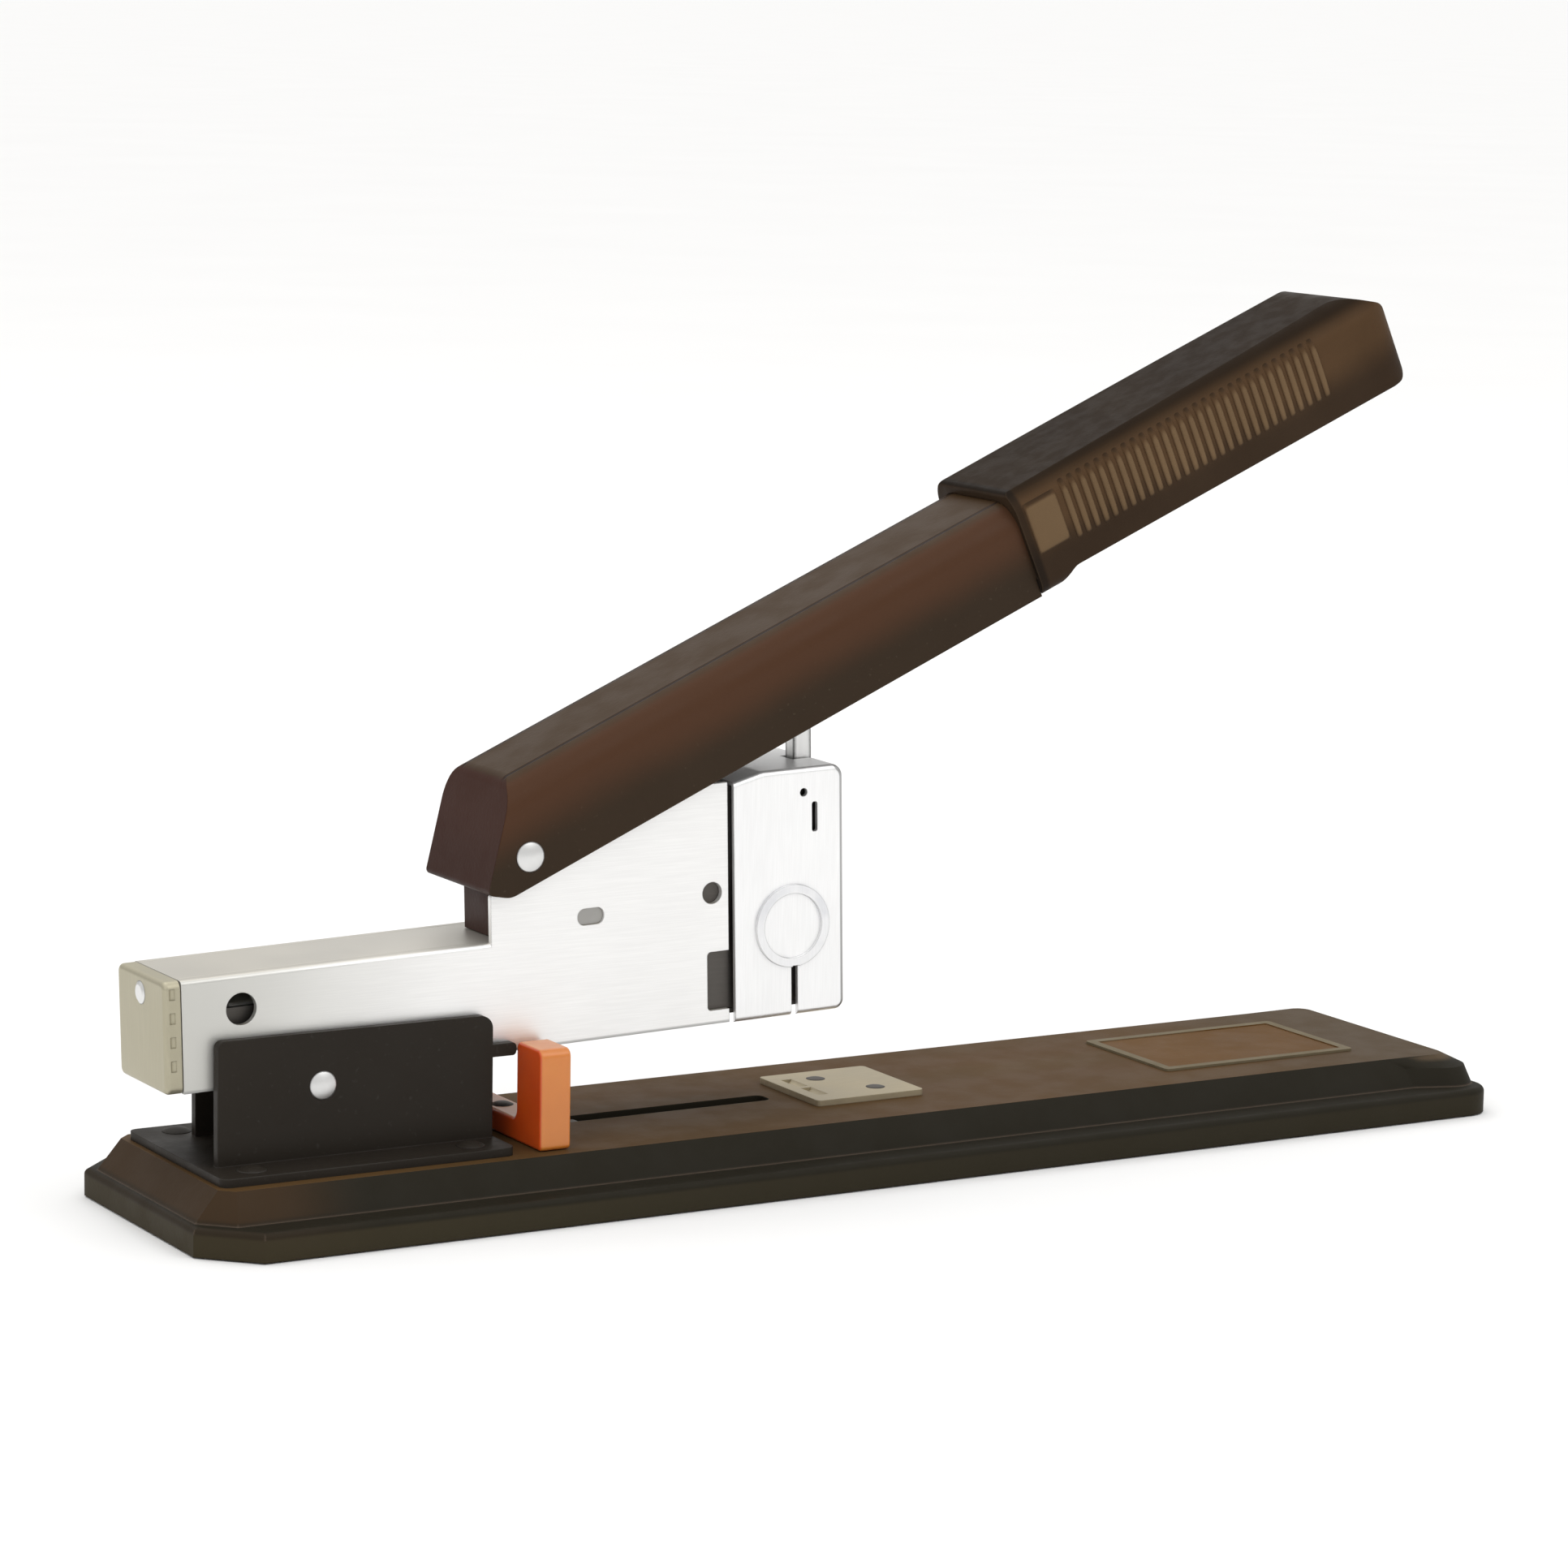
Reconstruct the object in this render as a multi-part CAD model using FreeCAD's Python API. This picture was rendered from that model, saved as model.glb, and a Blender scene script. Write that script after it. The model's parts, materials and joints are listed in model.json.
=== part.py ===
import FreeCAD, Part
import math
import os
from FreeCAD import Vector

# Heavy-duty desk stapler, millimetres.
# +X is the mouth end, where paper goes in; -X is the hinge end; +Z is up.
# The origin is the middle of the footprint, on the table.
# The head is drawn level and then tipped up about its hinge pin; the handle is drawn
# along its own axis and then raised about its own pin.

# Base
BASE_LENGTH = 283.0
BASE_WIDTH = 70.0
BASE_HEIGHT = 11.2
SHOULDER_HEIGHT = 9.2
TOP_WIDTH = 49.6
BAND_BOTTOM = 0.3
BAND_TOP = 5.6
BAND_LEDGE = 5.6
REAR_CHAMFER = 10.0
FRONT_RADIUS = 6.0
FLARE_LENGTH = 15.0
TRAY_WALL = 2.0
SLOT_START = 69.0
SLOT_END = 131.5
SLOT_WIDTH = 4.6
FOOT_RADIUS = 6.0
FOOT_PLACES = ((34.0, 24.0), (248.0, 24.0))
SCREW_PLACES = ((20.0, 20.0), (150.0, 20.0), (262.0, 18.0))
SCREW_RADIUS = 1.2

# Anvil and name plate
ANVIL_START = 136.5
ANVIL_LENGTH = 24.0
ANVIL_WIDTH = 23.4
ANVIL_THICKNESS = 1.2
ANVIL_RIVETS = ((146.0, 5.6), (153.0, -5.6))
ANVIL_RIVET_RADIUS = 1.3
STAPLE_PLACE = 140.2
STAPLE_LEG = 6.3
PLATE_START = 215.5
PLATE_LENGTH = 46.0
PLATE_WIDTH = 30.0
PLATE_THICKNESS = 0.5
PLATE_RIM = 2.0

# Hinge bracket
BRACKET_INNER = 22.6
BRACKET_OUTER = 26.0
BRACKET_TOP = 36.0
BRACKET_REAR = 10.1
BRACKET_FRONT = 65.5
BRACKET_SHEET = 1.6
HORN_LENGTH = 4.9
FOOT_FLANGE = 44.0
BRACKET_RIVETS = ((15.0, 17.0), (59.0, 17.0))
BRACKET_RIVET_RADIUS = 1.6
HEAD_SPRING_PLACE = 50.0
HINGE_PLACE = 31.0
HINGE_HEIGHT = 26.0
HINGE_PIN_RADIUS = 2.2
RUNNING_GAP = 0.06

# Paper stop
STOP_START = 70.9
STOP_THICKNESS = 6.4
STOP_WIDTH = 44.0
STOP_GAP = 24.0
STOP_TOP = 30.4
STOP_WEB_TOP = 15.6
STOP_RIVET_RADIUS = 1.5

# Head, drawn level
HEAD_TILT = 1.6
HEAD_REAR = 1.2
CAP_LENGTH = 3.2
HEAD_WIDTH = 21.6
HEAD_BOTTOM = 27.2
HEAD_TOP = 48.0
HEAD_SHEET = 1.2
CHEEK_REAR = 66.8
FAR_CHEEK_REAR = 76.5
CHEEK_TOP = 73.6
FRAME_FRONT = 117.1
ROOF_FRONT = 103.6
TIE_PLACE = 87.6
TIE_HEIGHT = 50.9
GUIDE_REAR = 104.0

# Nose cover
NOSE_REAR = 118.1
NOSE_FRONT = 142.3
NOSE_WIDTH = 23.0
NOSE_SHEET = 0.9
NOSE_BOTTOM = 27.0
NOSE_TOP = 75.0
GUIDE_FRONT = 139.4
RING_PLACE = 130.6
RING_HEIGHT = 44.6
SPRING_PLACE = 131.0

# Magazine
FLOOR_BOTTOM = 28.6
MAGAZINE_SHEET = 1.0
MAGAZINE_REAR = 14.0
RAIL_WIDTH = 11.4
RAIL_TOP = 41.7
STAPLE_WIDTH = 13.2
STAPLE_WIRE = 0.65
STAPLE_TOP = 42.6
STAPLES_REAR = 58.6
FOLLOWER_LENGTH = 10.0
ROD_RADIUS = 1.2
ROD_HEIGHT = 44.4
ROD_FRONT = 112.0

# Handle, drawn along its own axis from its pin
HANDLE_ANGLE = 23.8
HANDLE_PIN_PLACE = 73.9
HANDLE_PIN_HEIGHT = 64.0
HANDLE_PIN_RADIUS = 2.4
HANDLE_WIDTH = 26.5
HANDLE_SHEET = 1.2
HANDLE_LOW = -5.3
HANDLE_HIGH = 14.5
HANDLE_BEND = 5.5
FRONT_LOW = -10.6
FRONT_HIGH = 2.4
FRONT_FOOT = -2.6
TAIL_LOW = -1.5
CHANNEL_END = 205.0
GRIP_START = 119.4
GRIP_END = 216.8
GRIP_ROUNDING = 8.0
GRIP_WIDTH = 28.8
GRIP_LOW = -3.2
GRIP_HIGH = 16.6
PRESS_FACE = 4.0
PRESS_START = 60.0
PRESS_END = 78.0

# Driver, in the head's level frame
BLADE_REAR = 139.7
BLADE_THICKNESS = 0.9
BLADE_TIP = 43.2
BLADE_RIVETS = 3.5
BLADE_RIVET_HEIGHT = 70.2
BLADE_RIVET_RADIUS = 0.9
CROSSHEAD_BOTTOM = 68.0
CROSSHEAD_TOP = 73.0
PLUNGER_REAR = 137.0
PLUNGER_FRONT = 140.8
PLUNGER_DEPTH = 3.2
PLUNGER_CENTRE_HEIGHT = 92.5

UP = Vector(0, 0, 1)
ACROSS = Vector(0, 1, 0)
ALONG = Vector(1, 0, 0)


def at(distance):
    """X of a place that lies this far from the rear end of the base."""
    return distance - BASE_LENGTH / 2


# ---------------------------------------------------------------- helpers

def box(x0, x1, y0, y1, z0, z1):
    return Part.makeBox(x1 - x0, y1 - y0, z1 - z0, Vector(x0, y0, z0))


def pin(radius, start, direction, length):
    return Part.makeCylinder(radius, length, start, direction)


def cross_pin(radius, x, z, y0, y1):
    """Round bar along Y."""
    return pin(radius, Vector(x, y0, z), ACROSS, y1 - y0)


def rounded_wire(corners, place):
    """Closed outline through corners (a, b, radius); place turns (a, b) into a point."""
    count = len(corners)
    joins = []
    for index in range(count):
        before = place(*corners[index - 1][:2])
        here = place(*corners[index][:2])
        after = place(*corners[(index + 1) % count][:2])
        radius = corners[index][2]
        if radius == 0:
            joins.append((here, None, here))
            continue
        back = (before - here).normalize()
        ahead = (after - here).normalize()
        half_angle = back.getAngle(ahead) / 2
        reach = radius / math.tan(half_angle)
        middle = (back + ahead).normalize()
        depth = radius / math.sin(half_angle) - radius
        joins.append((here + back * reach, here + middle * depth, here + ahead * reach))
    edges = []
    for index in range(count):
        start, middle, end = joins[index]
        if middle is not None:
            edges.append(Part.Arc(start, middle, end).toShape())
        following = joins[(index + 1) % count][0]
        if (following - end).Length > 1e-6:
            edges.append(Part.makeLine(end, following))
    return Part.Wire(edges)


def flat_plate(corners, z0, z1):
    """Plate from an XY outline."""
    wire = rounded_wire(corners, lambda a, b: Vector(a, b, z0))
    return Part.Face(wire).extrude(UP * (z1 - z0))


def side_plate(corners, y0, y1):
    """Plate from an XZ outline."""
    wire = rounded_wire(corners, lambda a, b: Vector(a, y0, b))
    return Part.Face(wire).extrude(ACROSS * (y1 - y0))


def section_bar(corners, x0, x1):
    """Bar along X from a YZ outline."""
    wire = rounded_wire(corners, lambda a, b: Vector(x0, a, b))
    return Part.Face(wire).extrude(ALONG * (x1 - x0))


def slab(corners_low, z_low, corners_high, z_high):
    """Tapered block between two outlines with the same corners."""
    low = rounded_wire(corners_low, lambda a, b: Vector(a, b, z_low))
    high = rounded_wire(corners_high, lambda a, b: Vector(a, b, z_high))
    return Part.makeLoft([low, high], True, True)


def rectangle(x0, x1, half_width, radius=0.0):
    return [(x0, -half_width, radius), (x1, -half_width, radius),
            (x1, half_width, radius), (x0, half_width, radius)]


def coil(radius, wire, length, turns, start, direction):
    """Open-ended coil spring."""
    helix = Part.makeHelix(length / turns, length, radius)
    section = Part.Wire(Part.makeCircle(wire / 2, Vector(radius, 0, 0), ACROSS))
    spring = Part.Wire(helix).makePipeShell([section], True, True)
    spring.Placement = FreeCAD.Placement(start, FreeCAD.Rotation(UP, direction))
    return spring


def soften(shape, radius, wanted):
    """Fillet the edges whose middle point passes the test."""
    edges = [edge for edge in shape.Edges if wanted(edge.CenterOfMass)]
    return shape.makeFillet(radius, edges)


def near(value, target):
    return abs(value - target) < 0.02


def tip_head(shape):
    """Tip a level head part up about the hinge pin."""
    moved = shape.copy()
    moved.rotate(Vector(at(HINGE_PLACE), 0, HINGE_HEIGHT), ACROSS, -HEAD_TILT)
    return moved


def raise_handle(shape):
    """Put a handle part, drawn along its own axis, on its pin in the tipped head."""
    moved = shape.copy()
    moved.rotate(Vector(0, 0, 0), ACROSS, HEAD_TILT - HANDLE_ANGLE)
    moved.translate(Vector(at(HANDLE_PIN_PLACE), 0, HANDLE_PIN_HEIGHT))
    return tip_head(moved)


# ---------------------------------------------------------------- base

def band_outline(inset):
    half = BASE_WIDTH / 2 - inset
    rear = at(0) + inset
    front = at(BASE_LENGTH) - inset
    narrow = BASE_WIDTH / 2 - REAR_CHAMFER * 0.96 - inset * 0.4
    chamfer = half - narrow
    radius = max(FRONT_RADIUS - inset, 1.0)
    return [(rear, -narrow, 0.0), (rear + chamfer, -half, 0.0), (front, -half, radius),
            (front, half, radius), (rear + chamfer, half, 0.0), (rear, narrow, 0.0)]


def hump_outline(rear, front, half, chamfer, radius, flare=0.0):
    """Outline of the hump; flare is how much wider it grows towards the front corners."""
    narrow = half - chamfer
    bend = front - FLARE_LENGTH
    return [(rear, -narrow, 0.0), (rear + chamfer, -half, 0.0), (bend, -half, 0.0),
            (front, -half - flare, radius), (front, half + flare, radius), (bend, half, 0.0),
            (rear + chamfer, half, 0.0), (rear, narrow, 0.0)]


def screw_spots():
    return [(at(along), side * across) for along, across in SCREW_PLACES for side in (-1, 1)]


def base_tray():
    """Pressed tray: an upright band, a ledge, and a tapered hump with a rounded front."""
    half_top = TOP_WIDTH / 2
    half_foot = BASE_WIDTH / 2 - BAND_LEDGE
    front = at(BASE_LENGTH)
    band = flat_plate(band_outline(0.0), BAND_BOTTOM, BAND_TOP)
    band = soften(band, 1.2, lambda point: near(point.z, BAND_TOP))
    foot_height = BAND_TOP - 1.3
    share = (SHOULDER_HEIGHT - foot_height) / (BASE_HEIGHT - foot_height)
    hump_foot = hump_outline(at(0.4), front - 0.5, half_foot, 6.6, 5.6, 4.8)
    shoulder = hump_outline(at(0.4 + 5.7 * share), front - 1.6,
                            half_foot + (half_top - half_foot) * share, 6.6 - 4.2 * share, 5.4, 6.2)
    hump_top = hump_outline(at(6.1), front - 5.4, half_top, 2.4, 3.0, 0.4)
    hump = slab(hump_foot, foot_height, shoulder, SHOULDER_HEIGHT)
    hump = hump.fuse(slab(shoulder, SHOULDER_HEIGHT, hump_top, BASE_HEIGHT))
    tray = band.fuse(hump).removeSplitter()
    hollow_foot = hump_outline(at(6.0), front - 7.0, half_foot - 3.0, 6.6, 5.0)
    hollow_top = hump_outline(at(9.0), front - 9.0, half_top - 2.0, 2.4, 4.0)
    tray = tray.cut(slab(hollow_foot, BAND_TOP - TRAY_WALL, hollow_top, BASE_HEIGHT - TRAY_WALL))
    tray = tray.cut(flat_plate(band_outline(TRAY_WALL), 0.0, BAND_TOP - TRAY_WALL))
    for x, y in screw_spots():
        boss = pin(3.4, Vector(x, y, 2.4), UP, BASE_HEIGHT - TRAY_WALL - 1.8)
        tray = tray.fuse(boss).cut(pin(SCREW_RADIUS, Vector(x, y, 2.4), UP, 5.0))
    slot = flat_plate(rectangle(at(SLOT_START), at(SLOT_END), SLOT_WIDTH / 2, 1.5), 8.0, 12.0)
    tray = tray.cut(slot)
    holes = rivet_holes(anvil_rivet_spots(), ANVIL_RIVET_RADIUS)
    holes += rivet_holes(bracket_rivet_spots(), BRACKET_RIVET_RADIUS)
    for hole in holes:
        tray = tray.cut(hole)
    return tray.removeSplitter()


def base_bottom():
    """Flat closing plate under the tray, with countersinks for its screws."""
    plate = flat_plate(band_outline(TRAY_WALL + 0.3), 1.0, 2.4)
    for x, y in screw_spots():
        plate = plate.cut(pin(1.4, Vector(x, y, 0.5), UP, 2.5))
        plate = plate.cut(Part.makeCone(2.8, 1.4, 1.0, Vector(x, y, 1.0), UP))
    return plate


def base_screws():
    screws = []
    for x, y in screw_spots():
        head = Part.makeCone(2.7, SCREW_RADIUS, 1.0, Vector(x, y, 1.05), UP)
        shank = pin(SCREW_RADIUS, Vector(x, y, 1.8), UP, 5.0)
        slot = box(x - 2.0, x + 2.0, y - 0.3, y + 0.3, 0.9, 1.5)
        screws.append(head.fuse(shank).cut(slot).removeSplitter())
    return Part.makeCompound(screws)


def rubber_feet():
    return Part.makeCompound([pin(FOOT_RADIUS, Vector(at(along), side * across, 0), UP, 1.0)
                              for along, across in FOOT_PLACES for side in (-1, 1)])


def anvil_plate():
    """Clinching plate with one forming groove for each staple leg."""
    top = BASE_HEIGHT + ANVIL_THICKNESS
    plate = flat_plate(rectangle(at(ANVIL_START), at(ANVIL_START + ANVIL_LENGTH),
                                 ANVIL_WIDTH / 2, 1.0), BASE_HEIGHT, top)
    for side in (-1, 1):
        y0, y1 = sorted((side * 0.6, side * (STAPLE_LEG + 0.9)))
        plate = plate.cut(cross_pin(1.3, at(STAPLE_PLACE), top + 0.6, y0, y1))
    for hole in rivet_holes(anvil_rivet_spots(), ANVIL_RIVET_RADIUS):
        plate = plate.cut(hole)
    return plate


def anvil_rivet_spots():
    return [(at(along), across) for along, across in ANVIL_RIVETS]


def bracket_rivet_spots():
    return [(at(along), side * across) for along, across in BRACKET_RIVETS for side in (-1, 1)]


def rivet_holes(spots, radius):
    low = BASE_HEIGHT - TRAY_WALL - 0.6
    return [pin(radius, Vector(x, y, low), UP, 4.4) for x, y in spots]


def dome_rivet(x, y, z_low, z_seat, shank, head, rise):
    """Rivet with an upset foot at z_low and a domed head on z_seat."""
    body = pin(shank, Vector(x, y, z_low), UP, z_seat - z_low)
    foot = pin(head * 0.85, Vector(x, y, z_low - 0.6), UP, 0.6)
    ball_radius = (head * head + rise * rise) / (2 * rise)
    ball = Part.makeSphere(ball_radius, Vector(x, y, z_seat + rise - ball_radius))
    cap = ball.common(box(x - head, x + head, y - head, y + head, z_seat, z_seat + rise))
    return body.fuse(foot).fuse(cap).removeSplitter()


def anvil_rivets():
    low = BASE_HEIGHT - TRAY_WALL
    seat = BASE_HEIGHT + ANVIL_THICKNESS
    return Part.makeCompound([dome_rivet(x, y, low, seat, ANVIL_RIVET_RADIUS, 1.9, 0.35)
                              for x, y in anvil_rivet_spots()])


def name_plate():
    """Plain plate with a raised rim; it carries no marks."""
    top = BASE_HEIGHT + PLATE_THICKNESS
    half = PLATE_WIDTH / 2
    start = at(PLATE_START)
    end = at(PLATE_START + PLATE_LENGTH)
    plate = flat_plate(rectangle(start, end, half, 1.0), BASE_HEIGHT, top)
    inside = rectangle(start + PLATE_RIM, end - PLATE_RIM, half - PLATE_RIM, 0.6)
    recess = flat_plate(inside, top - 0.2, top + 1)
    return plate.cut(recess)


# ---------------------------------------------------------------- hinge bracket

def bracket_cheek(rear, y0, y1):
    """Side plate of the bracket, with a short horn in front."""
    front = at(BRACKET_FRONT)
    corners = [(at(rear), BASE_HEIGHT, 0.0), (front, BASE_HEIGHT, 0.0), (front, 28.0, 0.0),
               (front + HORN_LENGTH, 28.0, 0.8), (front + HORN_LENGTH, 30.4, 0.8), (front, 30.4, 0.0),
               (front, BRACKET_TOP, 2.5), (at(rear), BRACKET_TOP, 1.5)]
    return side_plate(corners, y0, y1)


def pivot_bracket():
    """Folded bracket: wide foot on the base and two cheeks for the hinge pin."""
    inner = BRACKET_INNER / 2
    outer = BRACKET_OUTER / 2
    foot = flat_plate(rectangle(at(7.2), at(66.0), FOOT_FLANGE / 2, 2.0),
                      BASE_HEIGHT, BASE_HEIGHT + BRACKET_SHEET)
    near_cheek = bracket_cheek(BRACKET_REAR, -outer, -inner)
    far_cheek = bracket_cheek(BRACKET_REAR + 6.2, inner, outer)
    bracket = foot.fuse(near_cheek).fuse(far_cheek)
    bracket = bracket.cut(cross_pin(HINGE_PIN_RADIUS, at(HINGE_PLACE), HINGE_HEIGHT, -20, 20))
    for hole in rivet_holes(bracket_rivet_spots(), BRACKET_RIVET_RADIUS):
        bracket = bracket.cut(hole)
    return bracket.removeSplitter()


def bracket_rivets():
    low = BASE_HEIGHT - TRAY_WALL
    seat = BASE_HEIGHT + BRACKET_SHEET
    return Part.makeCompound([dome_rivet(x, y, low, seat, BRACKET_RIVET_RADIUS, 2.8, 0.9)
                              for x, y in bracket_rivet_spots()])


def headed_pin(radius, x, z, half_length, head_radius, head_rise):
    """Cross pin with a low domed head at each end."""
    body = cross_pin(radius, x, z, -half_length, half_length)
    ball_radius = (head_radius ** 2 + head_rise ** 2) / (2 * head_rise)
    for side in (-1, 1):
        tip = side * (half_length + head_rise)
        ball = Part.makeSphere(ball_radius, Vector(x, tip - side * ball_radius, z))
        y0, y1 = sorted((side * half_length, tip))
        cap = ball.common(box(x - head_radius, x + head_radius, y0, y1,
                              z - head_radius, z + head_radius))
        body = body.fuse(cap)
    return body.removeSplitter()


def head_pivot_pin():
    return headed_pin(HINGE_PIN_RADIUS, at(HINGE_PLACE), HINGE_HEIGHT,
                      BRACKET_OUTER / 2, 2.7, 0.6)


def head_spring():
    """Compression spring that lifts the head, between bracket foot and magazine floor."""
    seat = BASE_HEIGHT + BRACKET_SHEET
    return coil(3.9, 1.1, 14.4, 6, Vector(at(HEAD_SPRING_PLACE), 0, seat + 0.6), UP)


# ---------------------------------------------------------------- paper stop

def paper_stop():
    """U-shaped stop: two ears beside the head, joined by a low web on the base."""
    half = STOP_WIDTH / 2
    gap = STOP_GAP / 2
    low = BASE_HEIGHT + 0.1
    corners = [(-half, low, 0.8), (half, low, 0.8), (half, STOP_TOP, 1.6), (gap, STOP_TOP, 1.2),
               (gap, STOP_WEB_TOP, 2.0), (-gap, STOP_WEB_TOP, 2.0), (-gap, STOP_TOP, 1.2),
               (-half, STOP_TOP, 1.6)]
    rear = at(STOP_START)
    front = rear + STOP_THICKNESS
    body = section_bar(corners, rear, front)
    body = soften(body, 0.6, lambda point: near(point.x, rear) or near(point.x, front))
    return body.cut(pin(STOP_RIVET_RADIUS, Vector((rear + front) / 2, 0, low - 1), UP, 8.0))


def stop_slide():
    """Slide under the tray's top wall, with a key that runs in the slot."""
    middle = at(STOP_START + STOP_THICKNESS / 2)
    wall_under = BASE_HEIGHT - TRAY_WALL
    plate = box(middle - 5.0, middle + 16.0, -6.0, 6.0, wall_under - 1.3, wall_under - 0.1)
    key = flat_plate(rectangle(middle - 4.0, middle + 16.0, SLOT_WIDTH / 2 - 0.25, 1.0),
                     wall_under - 0.2, BASE_HEIGHT - 0.5)
    slide = plate.fuse(key).removeSplitter()
    return slide.cut(pin(STOP_RIVET_RADIUS, Vector(middle, 0, wall_under - 2), UP, 6.0))


def stop_rivet():
    middle = at(STOP_START + STOP_THICKNESS / 2)
    low = BASE_HEIGHT - TRAY_WALL - 1.3
    return dome_rivet(middle, 0, low, STOP_WEB_TOP, STOP_RIVET_RADIUS, 2.2, 0.6)


# ---------------------------------------------------------------- head frame

def head_cheek(corners, y0, y1):
    """Side plate of the head with its hinge lug below."""
    plate = side_plate(corners, y0, y1)
    x = at(HINGE_PLACE)
    lug = cross_pin(5.4, x, HINGE_HEIGHT, y0, y1)
    lug = lug.fuse(box(x - 5.4, x + 5.4, y0, y1, HINGE_HEIGHT, HEAD_BOTTOM + 2.0))
    return plate.fuse(lug).removeSplitter()


def cheek_corners(step):
    """Side view of one cheek; step is where its tall part starts."""
    return [(at(HEAD_REAR + CAP_LENGTH + 0.2), HEAD_BOTTOM, 0.0), (at(FRAME_FRONT), HEAD_BOTTOM, 0.0),
            (at(FRAME_FRONT), CHEEK_TOP, 0.0), (at(112.0), CHEEK_TOP, 2.0), (at(75.5), 69.8, 3.0),
            (at(69.6), 66.5, 2.5), (at(69.4), 59.8, 1.5), (at(step), 56.8, 1.0),
            (at(step), HEAD_TOP, 0.0), (at(HEAD_REAR + CAP_LENGTH + 0.2), HEAD_TOP, 0.0)]


def cheek_cutters():
    """Holes that go through both cheeks of the head."""
    reach = 15.0
    cutters = [cross_pin(3.0, at(16.2), 41.6, -reach, reach),
               cross_pin(2.1, at(113.6), 52.6, -reach, reach),
               side_plate([(at(112.4), 29.8, 0.8), (at(FRAME_FRONT + 1), 29.8, 0.0),
                           (at(FRAME_FRONT + 1), 41.2, 0.0), (at(112.4), 41.2, 0.8)],
                          -reach, reach)]
    return cutters


def head_frame():
    """Channel of bright sheet with two tall cheeks that carry the handle pin."""
    half = HEAD_WIDTH / 2
    inner = half - HEAD_SHEET
    near_cheek = head_cheek(cheek_corners(CHEEK_REAR), -half, -inner)
    far_cheek = head_cheek(cheek_corners(FAR_CHEEK_REAR), inner, half)
    rear = at(HEAD_REAR + CAP_LENGTH + 0.2)
    roof = box(rear, at(ROOF_FRONT), -half, half, HEAD_TOP - HEAD_SHEET, HEAD_TOP)
    frame = near_cheek.fuse(far_cheek).fuse(roof).removeSplitter()
    for cutter in cheek_cutters():
        frame = frame.cut(cutter)
    frame = frame.cut(cross_pin(HINGE_PIN_RADIUS + RUNNING_GAP, at(HINGE_PLACE), HINGE_HEIGHT,
                                -20, 20))
    frame = frame.cut(cross_pin(HANDLE_PIN_RADIUS, at(HANDLE_PIN_PLACE), HANDLE_PIN_HEIGHT,
                                -20, 20))
    frame = frame.cut(side_plate(tie_outline(0.0), -20, 20))
    return soften(frame, 0.9, lambda point: near(point.z, HEAD_TOP) and near(abs(point.y), half)
                  and point.x < at(FAR_CHEEK_REAR))


def tie_outline(inset):
    """Oblong outline of the tie bar between the cheeks."""
    length = 2.8 - inset
    height = 1.6 - inset
    radius = 1.5 - inset
    x0, x1 = at(TIE_PLACE) - length, at(TIE_PLACE) + length
    z0, z1 = TIE_HEIGHT - height, TIE_HEIGHT + height
    return [(x0, z0, radius), (x1, z0, radius), (x1, z1, radius), (x0, z1, radius)]


def tie_bar():
    """Oblong bar that ties the two cheeks together, its ends just below flush."""
    half = HEAD_WIDTH / 2
    return side_plate(tie_outline(0.02), -half + 0.5, half - 0.5)


def nose_frame():
    """Dark inner plates that guide the driver, with a back wall between them."""
    outer = HEAD_WIDTH / 2 - HEAD_SHEET - 0.1
    inner = outer - 1.2
    low = FLOOR_BOTTOM + MAGAZINE_SHEET + 0.1
    high = CHEEK_TOP - 1.0
    front = at(GUIDE_FRONT + 1.2)
    corners = [(at(GUIDE_REAR), low, 1.0), (front, low, 0.0), (front, high, 1.0),
               (at(GUIDE_REAR), high, 2.0)]
    plates = [side_plate(corners, -outer, -inner), side_plate(corners, inner, outer)]
    back = box(at(120.0), at(121.2), -outer + 0.2, outer - 0.2, HEAD_TOP + 0.2, CHEEK_TOP - 8.0)
    return plates[0].fuse(plates[1]).fuse(back).removeSplitter()


def nose_block():
    """Block above the staples; it seats the return spring and guides the blade."""
    half = HEAD_WIDTH / 2 - HEAD_SHEET - 1.4
    block = box(at(123.0), at(GUIDE_FRONT), -half, half, 43.4, HEAD_TOP - 0.5)
    return block.cut(pin(1.6, Vector(at(SPRING_PLACE), 0, 40), UP, 10.0))


def nose_housing():
    """Drawn cover over the nose: closed front and top, open back and bottom."""
    half = NOSE_WIDTH / 2
    inner = half - NOSE_SHEET
    corners = [(at(NOSE_REAR), NOSE_BOTTOM, 0.0), (at(NOSE_FRONT), NOSE_BOTTOM, 2.0),
               (at(NOSE_FRONT), NOSE_TOP, 2.5), (at(124.5), NOSE_TOP, 3.0),
               (at(NOSE_REAR), NOSE_TOP - 1.5, 0.0)]
    shell = side_plate(corners, -half, half)
    front = at(NOSE_FRONT)
    shell = soften(shell, 1.1, lambda point: near(abs(point.y), half) and point.x > front - 2.2)
    for side in (-1, 1):
        seat = Vector(at(RING_PLACE), side * half, RING_HEIGHT)
        ring = pin(8.0, seat, ACROSS * side, 0.6).cut(pin(6.3, seat, ACROSS * side, 0.6))
        shell = shell.fuse(ring)
    hollow = side_plate([(at(NOSE_REAR) - 1, NOSE_BOTTOM - 1, 0.0),
                         (front - NOSE_SHEET, NOSE_BOTTOM - 1, 0.0),
                         (front - NOSE_SHEET, NOSE_TOP - NOSE_SHEET, 1.6),
                         (at(124.5), NOSE_TOP - NOSE_SHEET, 0.0),
                         (at(NOSE_REAR) - 1, NOSE_TOP - 1.5 - NOSE_SHEET, 0.0)], -inner, inner)
    shell = shell.cut(hollow)
    for cutter in housing_cutters():
        shell = shell.cut(cutter)
    return shell.removeSplitter()


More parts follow.
